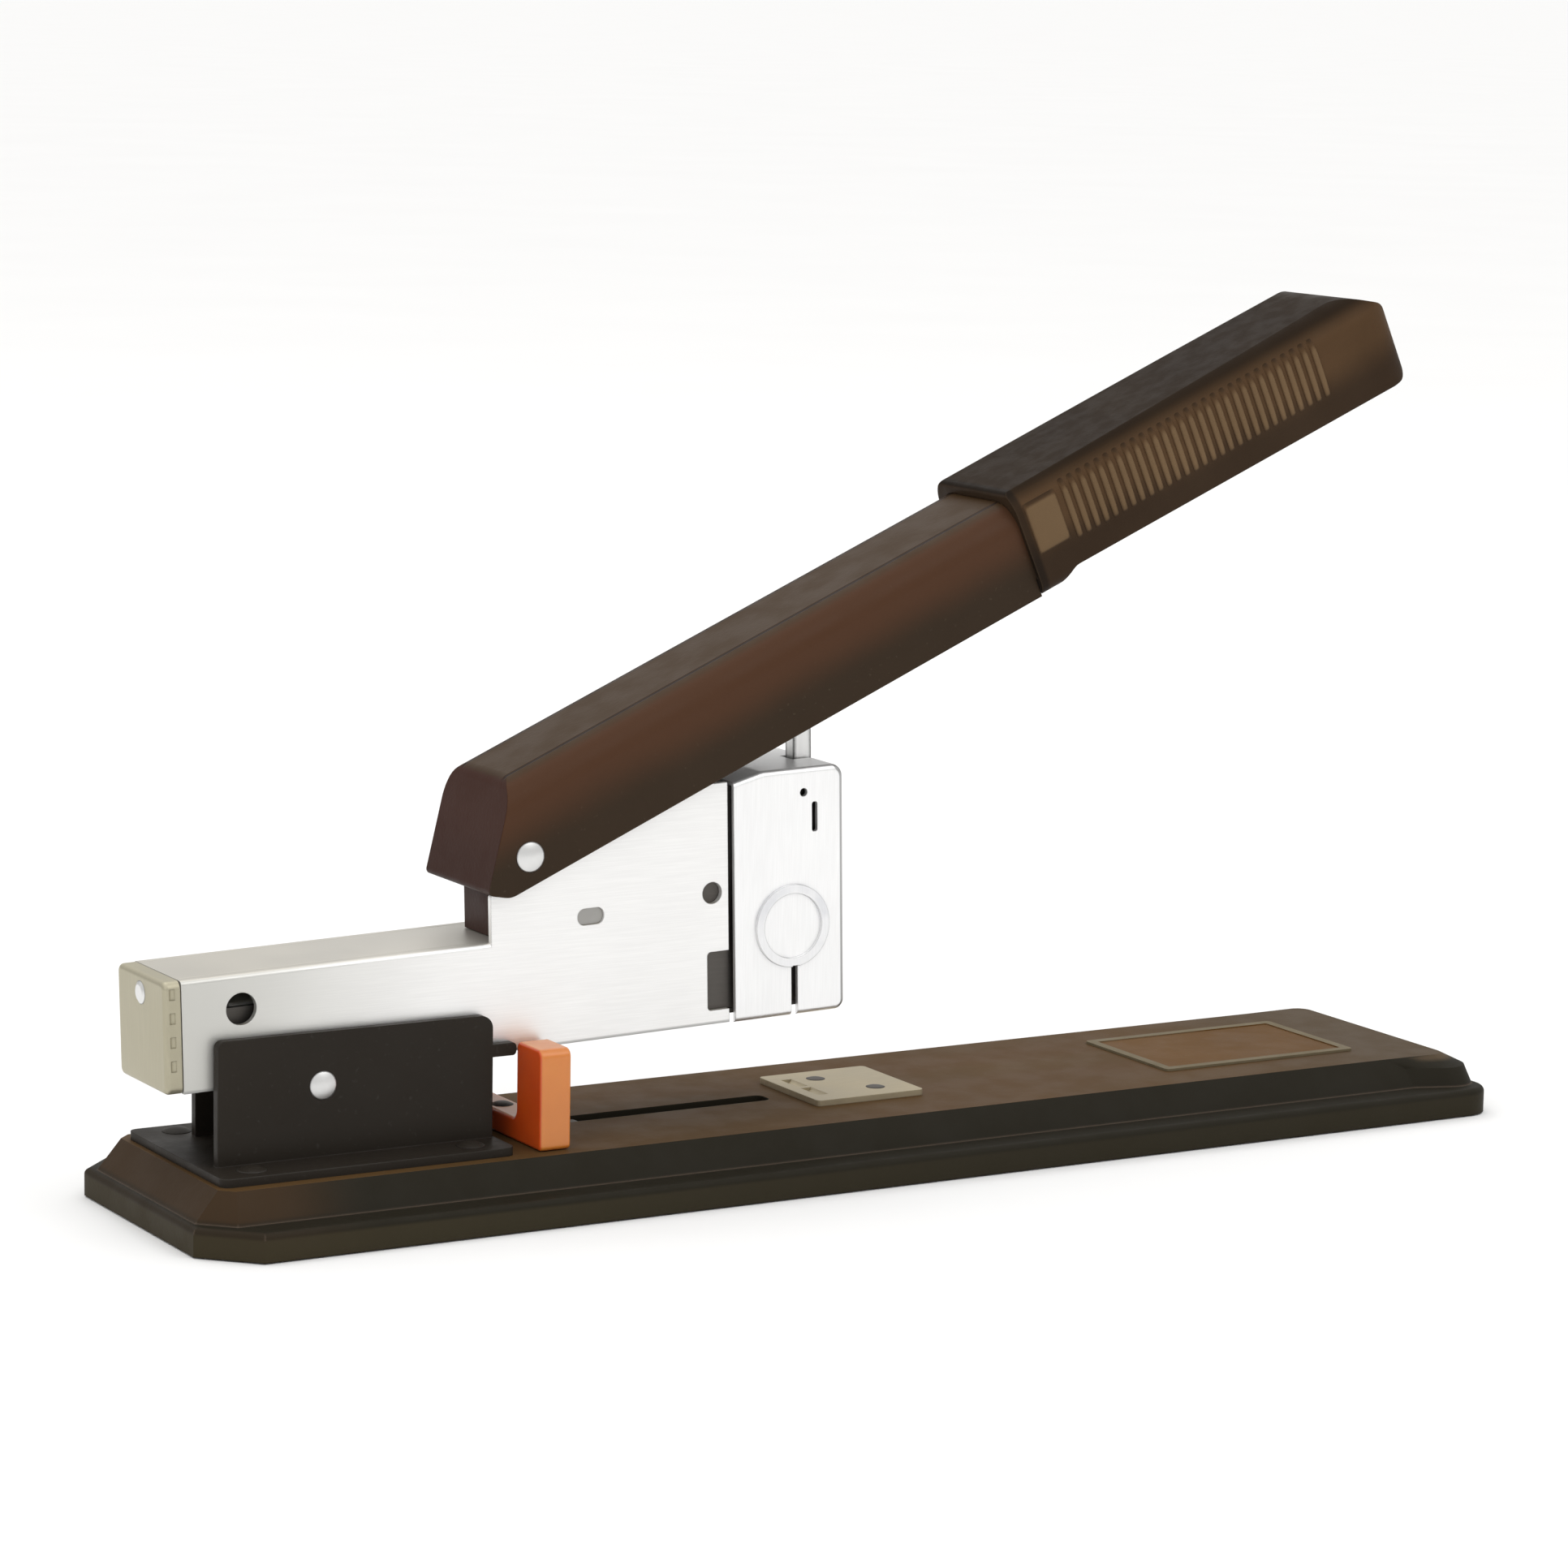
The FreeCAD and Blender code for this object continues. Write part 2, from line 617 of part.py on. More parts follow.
def housing_cutters():
    """Slit at the bottom, sight slot and hole in the sides, and the plunger's opening."""
    reach = 20.0
    slit = box(at(130.4), at(131.8), -reach, reach, NOSE_BOTTOM - 1, 36.8)
    sight = side_plate([(at(135.2), 62.4, 0.5), (at(136.4), 62.4, 0.5),
                        (at(136.4), 68.2, 0.5), (at(135.2), 68.2, 0.5)], -reach, 0.0)
    hole = cross_pin(0.8, at(133.4), 70.2, -reach, 0.0)
    opening = box(at(PLUNGER_REAR - 0.8), at(PLUNGER_FRONT + 0.4), -2.4, 2.4, 70.0, NOSE_TOP + 1)
    return [slit, sight, hole, opening]


def handle_pin():
    return headed_pin(HANDLE_PIN_RADIUS, at(HANDLE_PIN_PLACE), HANDLE_PIN_HEIGHT,
                      HANDLE_WIDTH / 2 + 0.05, 2.9, 0.6)


def return_spring():
    """Compression spring that lifts the driver and, through it, the handle."""
    seat = HEAD_TOP - 0.5
    length = CROSSHEAD_BOTTOM - seat - 1.0
    return coil(2.9, 0.7, length, 4, Vector(at(SPRING_PLACE), 0, seat + 0.5), UP)


# ---------------------------------------------------------------- magazine

def magazine():
    """Trough that holds the staple strip, with a floor as wide as the head."""
    wide = HEAD_WIDTH / 2 - HEAD_SHEET - 0.1
    half = STAPLE_WIDTH / 2 + 0.3
    floor_top = FLOOR_BOTTOM + MAGAZINE_SHEET
    floor = box(at(MAGAZINE_REAR), at(GUIDE_FRONT), -wide, wide, FLOOR_BOTTOM, floor_top)
    trough = floor
    for side in (-1, 1):
        y0, y1 = sorted((side * half, side * (half + MAGAZINE_SHEET)))
        trough = trough.fuse(box(at(MAGAZINE_REAR), at(GUIDE_FRONT), y0, y1, floor_top, 41.4))
    return trough.removeSplitter()


def staple_rail():
    """Folded rail that the staples straddle."""
    half = RAIL_WIDTH / 2
    low = FLOOR_BOTTOM + MAGAZINE_SHEET
    rail = section_bar([(-half, low, 0.0), (half, low, 0.0), (half, RAIL_TOP, 1.0),
                        (-half, RAIL_TOP, 1.0)], at(MAGAZINE_REAR + 2.0), at(GUIDE_FRONT))
    hollow = box(at(0), at(BASE_LENGTH), -half + 1.0, half - 1.0, low - 1, RAIL_TOP - 1.0)
    return rail.cut(hollow)


def staple_strip():
    """Glued strip of staples, crowns up, legs down each side of the rail."""
    half = STAPLE_WIDTH / 2
    low = FLOOR_BOTTOM + MAGAZINE_SHEET + 0.3
    outer = section_bar([(-half, low, 0.0), (half, low, 0.0), (half, STAPLE_TOP, 0.6),
                         (-half, STAPLE_TOP, 0.6)], at(STAPLES_REAR), at(GUIDE_FRONT))
    hollow = box(at(0), at(BASE_LENGTH), -half + STAPLE_WIRE, half - STAPLE_WIRE,
                 low - 1, STAPLE_TOP - STAPLE_WIRE)
    return outer.cut(hollow)


def rear_cap():
    """Bright end cap of the loader, with finger notches down both corners."""
    half = HEAD_WIDTH / 2
    rear = at(HEAD_REAR)
    front = at(HEAD_REAR + CAP_LENGTH)
    cap = section_bar([(-half, HEAD_BOTTOM, 1.5), (half, HEAD_BOTTOM, 1.5),
                       (half, HEAD_TOP, 1.5), (-half, HEAD_TOP, 1.5)], rear, front)
    cap = soften(cap, 1.0, lambda point: near(point.x, rear))
    for side in (-1, 1):
        for step in range(4):
            notch = pin(0.6, Vector(rear + 1.6, side * (half + 0.25), 31.5 + 4.4 * step), UP, 2.0)
            cap = cap.cut(notch)
    return cap.cut(pin(ROD_RADIUS, Vector(rear - 1, 0, ROD_HEIGHT), ALONG, 10.0))


def cap_plug():
    """Plug behind the cap that slides into the head and centres the loader."""
    half = HEAD_WIDTH / 2 - HEAD_SHEET - 0.35
    plug = section_bar([(-half, HEAD_BOTTOM + 1.0, 1.0), (half, HEAD_BOTTOM + 1.0, 1.0),
                        (half, HEAD_TOP - HEAD_SHEET - 0.35, 1.0),
                        (-half, HEAD_TOP - HEAD_SHEET - 0.35, 1.0)],
                       at(HEAD_REAR + CAP_LENGTH), at(13.4))
    plug = plug.cut(box(at(7.5), at(20), -half - 1, half + 1, HEAD_BOTTOM, 38.0))
    return plug.cut(pin(ROD_RADIUS, Vector(at(0), 0, ROD_HEIGHT), ALONG, 20.0))


def guide_rod():
    """Rod along the magazine, riveted over outside the cap."""
    rear = at(HEAD_REAR)
    rod = pin(ROD_RADIUS, Vector(rear, 0, ROD_HEIGHT), ALONG, at(ROD_FRONT) - rear)
    head = Part.makeCone(1.5, 2.2, 0.4, Vector(rear - 0.4, 0, ROD_HEIGHT), ALONG)
    return rod.fuse(head).removeSplitter()


def pusher_spring():
    """Long light spring round the rod, between plug and follower."""
    start = at(13.6)
    length = at(STAPLES_REAR - 0.4 - FOLLOWER_LENGTH) - 0.4 - start
    return coil(1.75, 0.45, length, 17, Vector(start + 0.2, 0, ROD_HEIGHT), ALONG)


def follower():
    """Block that straddles the rail and pushes the staples forward."""
    front = at(STAPLES_REAR - 0.4)
    rear = front - FOLLOWER_LENGTH
    half = STAPLE_WIDTH / 2
    clear = RAIL_WIDTH / 2 + 0.35
    block = box(rear, front, -half, half, 31.0, 46.3)
    block = block.cut(box(rear - 1, front + 1, -clear, clear, 30.0, RAIL_TOP + 0.3))
    return block.cut(pin(ROD_RADIUS + RUNNING_GAP, Vector(rear - 1, 0, ROD_HEIGHT), ALONG, 20.0))


# ---------------------------------------------------------------- driver

def driver_blade():
    rear = at(BLADE_REAR)
    return box(rear, rear + BLADE_THICKNESS, -6.3, 6.3, BLADE_TIP, CROSSHEAD_TOP - 0.5)


def crosshead():
    """Sliding block behind the blade, between the inner nose plates."""
    half = HEAD_WIDTH / 2 - HEAD_SHEET - 1.6
    block = box(at(126.0), at(BLADE_REAR), -half, half, CROSSHEAD_BOTTOM, CROSSHEAD_TOP)
    for rivet in blade_rivet_shanks():
        block = block.cut(rivet)
    return block


def blade_rivet_shanks():
    start = at(BLADE_REAR) - 3.0
    return [pin(BLADE_RIVET_RADIUS, Vector(start, y, BLADE_RIVET_HEIGHT), ALONG, 3.0)
            for y in (-BLADE_RIVETS, BLADE_RIVETS)]


def blade_rivets():
    return Part.makeCompound(blade_rivet_shanks())


def plunger():
    """Bright bar from the crosshead up into the handle, rounded where it is pressed."""
    rear = at(PLUNGER_REAR)
    front = at(PLUNGER_FRONT)
    radius = (front - rear) / 2
    half = PLUNGER_DEPTH / 2
    stem = box(rear, front, -half, half, CROSSHEAD_TOP, PLUNGER_CENTRE_HEIGHT)
    nose = cross_pin(radius, rear + radius, PLUNGER_CENTRE_HEIGHT, -half, half)
    return stem.fuse(nose).removeSplitter()


# ---------------------------------------------------------------- handle

def channel_envelope(gap):
    """Outside of the folded channel, seen along its axis, grown by a gap."""
    half = HANDLE_WIDTH / 2 + gap
    high = HANDLE_HIGH + gap
    bend = HANDLE_BEND + gap
    return [(-half, -20.0, 0.0), (half, -20.0, 0.0), (half, high, bend), (-half, high, bend)]


def handle_channel():
    """Folded channel, open below, with a leaning front wall."""
    half = HANDLE_WIDTH / 2
    side = [(FRONT_LOW, FRONT_FOOT, 1.0), (-6.6, HANDLE_LOW, 4.0),
            (GRIP_START - 0.2, HANDLE_LOW, 0.0), (GRIP_START - 0.2, TAIL_LOW, 0.0),
            (CHANNEL_END, TAIL_LOW, 0.0), (CHANNEL_END, HANDLE_HIGH, 0.0),
            (FRONT_HIGH, HANDLE_HIGH, 3.5)]
    outer = side_plate(side, -half, half)
    outer = outer.common(section_bar(channel_envelope(0.0), -20.0, CHANNEL_END + 10))
    slope = (FRONT_HIGH - FRONT_LOW) / (HANDLE_HIGH - FRONT_FOOT)
    wall = HANDLE_SHEET * math.hypot(1.0, slope)
    low = -12.0
    high = HANDLE_HIGH - HANDLE_SHEET
    inner_low = FRONT_LOW + (low - FRONT_FOOT) * slope + wall
    inner_high = FRONT_LOW + (high - FRONT_FOOT) * slope + wall
    inside = [(inner_low, low, 0.0), (CHANNEL_END + 5, low, 0.0),
              (CHANNEL_END + 5, high, 0.0), (inner_high, high, 2.5)]
    inner = side_plate(inside, -half, half)
    inner = inner.common(section_bar(channel_envelope(-HANDLE_SHEET), -20.0, CHANNEL_END + 10))
    channel = outer.cut(inner)
    channel = channel.cut(cross_pin(HANDLE_PIN_RADIUS + RUNNING_GAP, 0, 0, -20, 20))
    return channel.removeSplitter()


def grip_sleeve():
    """Moulded sleeve over the end of the channel, with a lip below its front edge."""
    half = GRIP_WIDTH / 2
    side = [(GRIP_START, HANDLE_LOW, 1.0), (GRIP_START + 4.8, HANDLE_LOW, 2.0),
            (GRIP_START + 8.6, GRIP_LOW + 0.4, 3.0), (GRIP_END - 1.2, GRIP_LOW, 3.5),
            (GRIP_END, GRIP_HIGH - 5.0, 8.0), (207.0, GRIP_HIGH + 1.2, 12.0),
            (GRIP_START, GRIP_HIGH, 1.0)]
    outer = side_plate(side, -half, half)
    tube = section_bar([(-half, HANDLE_LOW, 3.0), (half, HANDLE_LOW, 3.0),
                        (half, GRIP_HIGH + 1.3, 6.5), (-half, GRIP_HIGH + 1.3, 6.5)],
                       GRIP_START - 1, GRIP_END + 1)
    plan = rectangle(GRIP_START - 1, GRIP_END, half, GRIP_ROUNDING)
    plan[0] = (GRIP_START - 1, -half, 0.0)
    plan[3] = (GRIP_START - 1, half, 0.0)
    outer = outer.common(tube).common(flat_plate(plan, -20.0, 30.0))
    gap = 0.1
    hollow = section_bar(channel_envelope(gap), GRIP_START - 1, CHANNEL_END + 0.2)
    hollow = hollow.cut(box(GRIP_START - 2, CHANNEL_END + 1, -30, 30, -30, TAIL_LOW - gap))
    return outer.cut(hollow).removeSplitter()


def handle_stop():
    """Tongue inside the front wall; it rests just above the head's roof."""
    rear = at(69.1)
    front = at(71.1)
    low = HEAD_TOP + 0.15
    corners = [(rear, low, 0.0), (front, low, 0.0), (front, 71.0, 0.0), (at(70.5), 71.0, 0.0),
               (rear, 65.0, 0.0)]
    return tip_head(side_plate(corners, -5.0, 5.0))


def press_plate():
    """Cross plate in the channel that pushes the plunger down."""
    half = HANDLE_WIDTH / 2 - HANDLE_SHEET
    plate = box(PRESS_START, PRESS_END, -half, half, PRESS_FACE, PRESS_FACE + 2.0)
    for side in (-1, 1):
        y0, y1 = sorted((side * half, side * (half - 1.5)))
        plate = plate.fuse(box(PRESS_START, PRESS_END, y0, y1, PRESS_FACE, 8.8))
    return plate.removeSplitter()


# ---------------------------------------------------------------- assembly

STANDING = [base_tray, base_bottom, base_screws, rubber_feet, anvil_plate, anvil_rivets,
            name_plate, pivot_bracket, bracket_rivets, head_pivot_pin, head_spring,
            paper_stop, stop_slide, stop_rivet, handle_stop]
ON_HEAD = [head_frame, tie_bar, nose_frame, nose_block, nose_housing, handle_pin, return_spring,
           magazine, staple_rail, staple_strip, rear_cap, cap_plug, guide_rod, pusher_spring,
           follower, driver_blade, crosshead, blade_rivets, plunger]
ON_HANDLE = [handle_channel, grip_sleeve, press_plate]


def main():
    os.makedirs("parts", exist_ok=True)
    for build in STANDING:
        build().exportStep(f"parts/{build.__name__}.step")
    for build in ON_HEAD:
        tip_head(build()).exportStep(f"parts/{build.__name__}.step")
    for build in ON_HANDLE:
        raise_handle(build()).exportStep(f"parts/{build.__name__}.step")


main()
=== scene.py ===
import json
import math

import bmesh
import bpy
from mathutils import Matrix, Vector


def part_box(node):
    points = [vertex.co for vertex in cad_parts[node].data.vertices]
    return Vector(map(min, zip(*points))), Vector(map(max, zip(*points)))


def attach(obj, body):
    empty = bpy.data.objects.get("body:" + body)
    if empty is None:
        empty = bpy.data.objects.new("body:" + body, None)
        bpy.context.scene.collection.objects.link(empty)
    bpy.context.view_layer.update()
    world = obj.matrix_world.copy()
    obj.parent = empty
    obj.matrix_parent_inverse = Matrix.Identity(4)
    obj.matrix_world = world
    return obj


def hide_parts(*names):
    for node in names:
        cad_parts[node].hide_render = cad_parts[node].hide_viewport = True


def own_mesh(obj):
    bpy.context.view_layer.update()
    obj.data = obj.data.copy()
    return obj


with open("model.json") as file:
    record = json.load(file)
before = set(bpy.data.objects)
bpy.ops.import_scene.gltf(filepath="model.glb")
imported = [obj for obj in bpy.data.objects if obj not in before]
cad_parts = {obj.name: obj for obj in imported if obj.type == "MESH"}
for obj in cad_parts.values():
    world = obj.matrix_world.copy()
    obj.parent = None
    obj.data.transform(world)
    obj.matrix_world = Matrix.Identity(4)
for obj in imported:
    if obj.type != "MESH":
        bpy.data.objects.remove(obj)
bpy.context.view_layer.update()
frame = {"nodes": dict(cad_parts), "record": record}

# Heavy-duty desk stapler, metres. +X is the mouth end, -X the hinge end, +Y away from the camera.
MM = 0.001

# Camera: where it stands and how it is turned about the vertical, the horizon and its own axis
CAMERA_PLACE = Vector((-0.49152, -0.83504, 0.23069))
CAMERA_AZIMUTH = math.radians(-30.12)
CAMERA_ELEVATION = math.radians(9.29)
CAMERA_ROLL = math.radians(0.99)
CAMERA_LENS = 116.44
CAMERA_SENSOR = 36.0

# Head and handle: how far each is tipped up from level
HEAD_TILT = math.radians(1.6)
HANDLE_RISE = math.radians(23.8)

HEAD_UP = Vector((-math.sin(HEAD_TILT), 0.0, math.cos(HEAD_TILT)))
HEAD_ALONG = Vector((math.cos(HEAD_TILT), 0.0, math.sin(HEAD_TILT)))
HANDLE_UP = Vector((-math.sin(HANDLE_RISE), 0.0, math.cos(HANDLE_RISE)))
HANDLE_ALONG = Vector((math.cos(HANDLE_RISE), 0.0, math.sin(HANDLE_RISE)))
UPRIGHT = Vector((0.0, 0.0, 1.0))

# Fold lines on the tops of handle and head, out from the middle; a painted shade line runs along each
HANDLE_CREASE = 8.3 * MM
HEAD_CREASE = 8.6 * MM

# Ledge round the base tray, up from the table
LEDGE_HEIGHT = 5.6 * MM

# Pale rim of the name plate
PLATE_RIM = 2.0 * MM

# Grip sleeve, measured along the handle from its pin
GRIP_MOUTH = 119.4 * MM
GRIP_SIDE = 14.4 * MM
GRIP_BEND = 6.5 * MM
GRIP_BEND_START = 11.4 * MM
RIB_FIRST = 131.0 * MM
RIB_PITCH = 2.27 * MM
RIB_COUNT = 29
RIB_WIDTH = 1.5 * MM
RIB_RISE = 0.55 * MM
RIB_LOW = 1.6 * MM
RIB_HIGH = 14.8 * MM
PAD_START = 121.2 * MM
PAD_END = 128.8 * MM
PAD_RISE = 0.5 * MM
PAD_LOW = 2.6 * MM
PAD_HEIGHT = 11.0 * MM
SUNK = 0.6 * MM  # how far ribs and pads reach into the sleeve

# Staple strip, measured from the rear of the base and up from the table, in the level head
STRIP_REAR = 58.6 * MM
STRIP_FRONT = 139.4 * MM
STRIP_LOW = 29.9 * MM
STRIP_TOP = 42.6 * MM
STRIP_HALF = 6.6 * MM
WIRE = 0.65 * MM
WIRE_BEND = 0.5 * MM
WIRE_INNER_BEND = 0.1 * MM
STAPLE_GAP = 0.03 * MM

# Coil springs: coil radius, wire and turns, with length first where the CAD box doesn't give it
HEAD_COIL = (3.9 * MM, 1.1 * MM, 7.0)
RETURN_COIL = (20.2 * MM, 2.9 * MM, 0.7 * MM, 4.5)
PUSHER_COIL = (34.4 * MM, 1.75 * MM, 0.45 * MM, 17.5)
RETURN_SEAT = (131.0 * MM, 47.55 * MM)  # from the rear and up, in the level head
PUSHER_SEAT = (13.55 * MM, 44.4 * MM)

# Lower edge of the head's cheeks and of the nose cover, in the level head
HEAD_BOTTOM = 27.2 * MM

# Pressed ring on each side of the nose cover, in the level head
RING_FROM_REAR = 130.6 * MM
RING_HEIGHT = 44.6 * MM
RING_RADIUS = 7.2 * MM

base_low, base_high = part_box("base_tray")
pin_low, pin_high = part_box("handle_pin")
hinge_low, hinge_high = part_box("head_pivot_pin")
HANDLE_PIN = (pin_low + pin_high) / 2
HEAD_HINGE = (hinge_low + hinge_high) / 2


# ---------------------------------------------------------------- places

def handle_point(along, across, up):
    """A point on the handle: along its axis from the pin, across, and up from the axis."""
    x = along * math.cos(HANDLE_RISE) - up * math.sin(HANDLE_RISE)
    z = along * math.sin(HANDLE_RISE) + up * math.cos(HANDLE_RISE)
    return Vector((HANDLE_PIN.x + x, across, HANDLE_PIN.z + z))


def head_point(from_rear, across, height):
    """A point on the head, given where it is while the head lies level."""
    x = base_low.x + from_rear - HEAD_HINGE.x
    z = height - HEAD_HINGE.z
    turned_x = x * math.cos(HEAD_TILT) - z * math.sin(HEAD_TILT)
    turned_z = x * math.sin(HEAD_TILT) + z * math.cos(HEAD_TILT)
    return Vector((HEAD_HINGE.x + turned_x, across, HEAD_HINGE.z + turned_z))


# ---------------------------------------------------------------- node helpers

class Finish:
    """A procedural material, put together step by step."""

    def __init__(self, name, metallic=0.0, specular=0.5, coat=0.0, coat_roughness=0.1):
        self.material = bpy.data.materials.new(name)
        self.material.use_nodes = True
        self.tree = self.material.node_tree
        self.shader = self.tree.nodes["Principled BSDF"]
        self.shader.inputs["Metallic"].default_value = metallic
        self.shader.inputs["Specular IOR Level"].default_value = specular
        self.shader.inputs["Coat Weight"].default_value = coat
        self.shader.inputs["Coat Roughness"].default_value = coat_roughness
        self.coords = self.node("ShaderNodeTexCoord").outputs["Object"]
        parts = self.node("ShaderNodeSeparateXYZ")
        self.link(self.coords, parts.inputs["Vector"])
        self.x, self.y, self.z = parts.outputs

    def node(self, kind, **settings):
        made = self.tree.nodes.new(kind)
        for name, value in settings.items():
            setattr(made, name, value)
        return made

    def link(self, source, target):
        """Join an output to an input, or set a plain number or colour on the input."""
        if isinstance(source, bpy.types.NodeSocket):
            self.tree.links.new(source, target)
        else:
            target.default_value = source

    def noise(self, scale, detail=4.0, stretch=(1.0, 1.0, 1.0)):
        """Noise from 0 to 1; scale is in spots per metre."""
        mapping = self.node("ShaderNodeMapping")
        mapping.inputs["Scale"].default_value = stretch
        self.link(self.coords, mapping.inputs["Vector"])
        texture = self.node("ShaderNodeTexNoise")
        texture.inputs["Scale"].default_value = scale
        texture.inputs["Detail"].default_value = detail
        self.link(mapping.outputs["Vector"], texture.inputs["Vector"])
        return texture.outputs["Fac"]

    def maths(self, operation, first, second=0.0):
        made = self.node("ShaderNodeMath", operation=operation)
        self.link(first, made.inputs[0])
        self.link(second, made.inputs[1])
        return made.outputs[0]

    def span(self, value, low, high, to_low=0.0, to_high=1.0):
        """Value from low to high, mapped smoothly to a new range and held beyond its ends."""
        made = self.node("ShaderNodeMapRange", interpolation_type="SMOOTHSTEP")
        ends = {"From Min": low, "From Max": high, "To Min": to_low, "To Max": to_high}
        for name, number in ends.items():
            made.inputs[name].default_value = number
        self.link(value, made.inputs["Value"])
        return made.outputs["Result"]

    def band(self, value, centre, half_width, soft):
        """1 where value is within half_width of centre, fading to 0 over soft."""
        away = self.maths("ABSOLUTE", self.maths("SUBTRACT", value, centre))
        return self.span(away, half_width, half_width + soft, 1.0, 0.0)

    def mix(self, share, first, second):
        made = self.node("ShaderNodeMix", data_type="RGBA")
        self.link(share, made.inputs["Factor"])
        self.link(first, made.inputs["A"])
        self.link(second, made.inputs["B"])
        return made.outputs["Result"]

    def edges(self, radius, gain):
        """1 along the sharp outer and inner edges of a piece, 0 on its faces."""
        bevel = self.node("ShaderNodeBevel", samples=6)
        bevel.inputs["Radius"].default_value = radius
        geometry = self.node("ShaderNodeNewGeometry")
        dot = self.node("ShaderNodeVectorMath", operation="DOT_PRODUCT")
        self.link(bevel.outputs["Normal"], dot.inputs[0])
        self.link(geometry.outputs["Normal"], dot.inputs[1])
        gap = self.maths("SUBTRACT", 1.0, dot.outputs["Value"])
        return self.span(gap, 0.01, gain)

    def along(self, axis, start):
        """Distance from a plane through start, measured along an axis."""
        shifted = self.node("ShaderNodeVectorMath", operation="SUBTRACT")
        self.link(self.coords, shifted.inputs[0])
        shifted.inputs[1].default_value = start
        dot = self.node("ShaderNodeVectorMath", operation="DOT_PRODUCT")
        self.link(shifted.outputs["Vector"], dot.inputs[0])
        dot.inputs[1].default_value = axis
        return dot.outputs["Value"]

    def facing(self, axis):
        """How far the surface faces along an axis, from -1 to 1."""
        geometry = self.node("ShaderNodeNewGeometry")
        turned = self.node("ShaderNodeVectorTransform", vector_type="NORMAL",
                           convert_from="WORLD", convert_to="OBJECT")
        self.link(geometry.outputs["Normal"], turned.inputs["Vector"])
        dot = self.node("ShaderNodeVectorMath", operation="DOT_PRODUCT")
        self.link(turned.outputs["Vector"], dot.inputs[0])
        dot.inputs[1].default_value = axis
        return dot.outputs["Value"]

    def surface(self, colour, roughness, height=None, depth=0.0, rounding=0.15 * MM):
        """Join up the shader; height is a bump pattern that stands depth metres proud."""
        self.link(colour, self.shader.inputs["Base Color"])
        self.link(roughness, self.shader.inputs["Roughness"])
        bevel = self.node("ShaderNodeBevel", samples=6)
        bevel.inputs["Radius"].default_value = rounding
        normal = bevel.outputs["Normal"]
        if height is not None:
            bump = self.node("ShaderNodeBump")
            bump.inputs["Strength"].default_value = 1.0
            bump.inputs["Distance"].default_value = depth
            self.link(height, bump.inputs["Height"])
            self.link(normal, bump.inputs["Normal"])
            normal = bump.outputs["Normal"]
        self.link(normal, self.shader.inputs["Normal"])
        return self.material


def shade(colour, factor=1.0):
    """A colour made darker or lighter, as the four numbers a socket takes."""
    return (colour[0] * factor, colour[1] * factor, colour[2] * factor, 1.0)


# ---------------------------------------------------------------- paints and plastics

def paint(name, colour, worn, speckle=0.14, gloss=(0.36, 0.5)):
    """Satin stoving enamel: fine orange peel, a little dust, and rubbed edges."""
    finish = Finish(name, specular=0.09)
    cloud = finish.noise(38.0, 5.0)
    body = finish.mix(cloud, shade(colour, 1.0 - speckle), shade(colour, 1.0 + speckle))
    dust = finish.span(finish.noise(900.0, 6.0), 0.62, 0.8, 0.0, 0.35)
    body = finish.mix(dust, body, shade(worn, 0.8))
    rub = finish.maths("MULTIPLY", finish.edges(0.5 * MM, 0.22), finish.span(cloud, 0.42, 0.62))
    body = finish.mix(finish.maths("MULTIPLY", rub, 0.55), body, shade(worn))
    roughness = finish.span(finish.noise(120.0, 4.0), 0.3, 0.7, *gloss)
    return finish, body, roughness, finish.noise(1400.0, 3.0)


def handle_paint():
    """Dark brown enamel, with a painted shade line along the fold of both top bends of the channel,
    painted sheen on its top and painted shade on its front wall.
    """
    finish, body, roughness, peel = paint("handle_enamel", (0.034, 0.0215, 0.0125), (0.13, 0.1, 0.07))
    height = finish.along(HANDLE_UP, HANDLE_PIN)
    wander = finish.maths("MULTIPLY", finish.noise(22.0, 3.0), 8 * MM)
    redder = finish.span(finish.maths("ADD", height, wander), 4.0 * MM, 13.0 * MM, 0.0, 0.8)
    body = finish.mix(redder, body, shade((0.08, 0.035, 0.0175)))
    # Painted shade: faces turned towards the hinge end, the handle's front wall, are made darker and
    # redder.
    front = finish.span(finish.facing((-1.0, 0.0, 0.0)), 0.35, 0.8, 0.0, 0.85)
    body = finish.mix(front, body, shade((0.038, 0.0125, 0.0085)))
    # Painted shade: a dark line along each top bend, where the rounded fold turns away from the light;
    # the same line is pressed in as a shallow groove.
    top = finish.span(finish.facing(HANDLE_UP), 0.8, 0.98)
    distance = finish.maths("ABSOLUTE", finish.y)
    crease_shade = finish.maths("MULTIPLY", finish.band(distance, HANDLE_CREASE, 0.25 * MM, 0.3 * MM), top)
    body = finish.mix(finish.maths("MULTIPLY", crease_shade, 0.85), body, shade((0.012, 0.008, 0.005)))
    # Painted sheen: upward faces away from the fold lines are made lighter and more olive.
    top_sheen = finish.maths("MULTIPLY", top, finish.span(crease_shade, 0.0, 0.5, 0.7, 0.0))
    body = finish.mix(top_sheen, body, shade((0.04, 0.025, 0.0095)))
    relief = finish.maths("SUBTRACT", finish.maths("MULTIPLY", peel, 0.25), crease_shade)
    return finish.surface(body, roughness, relief, 0.12 * MM, 0.4 * MM)


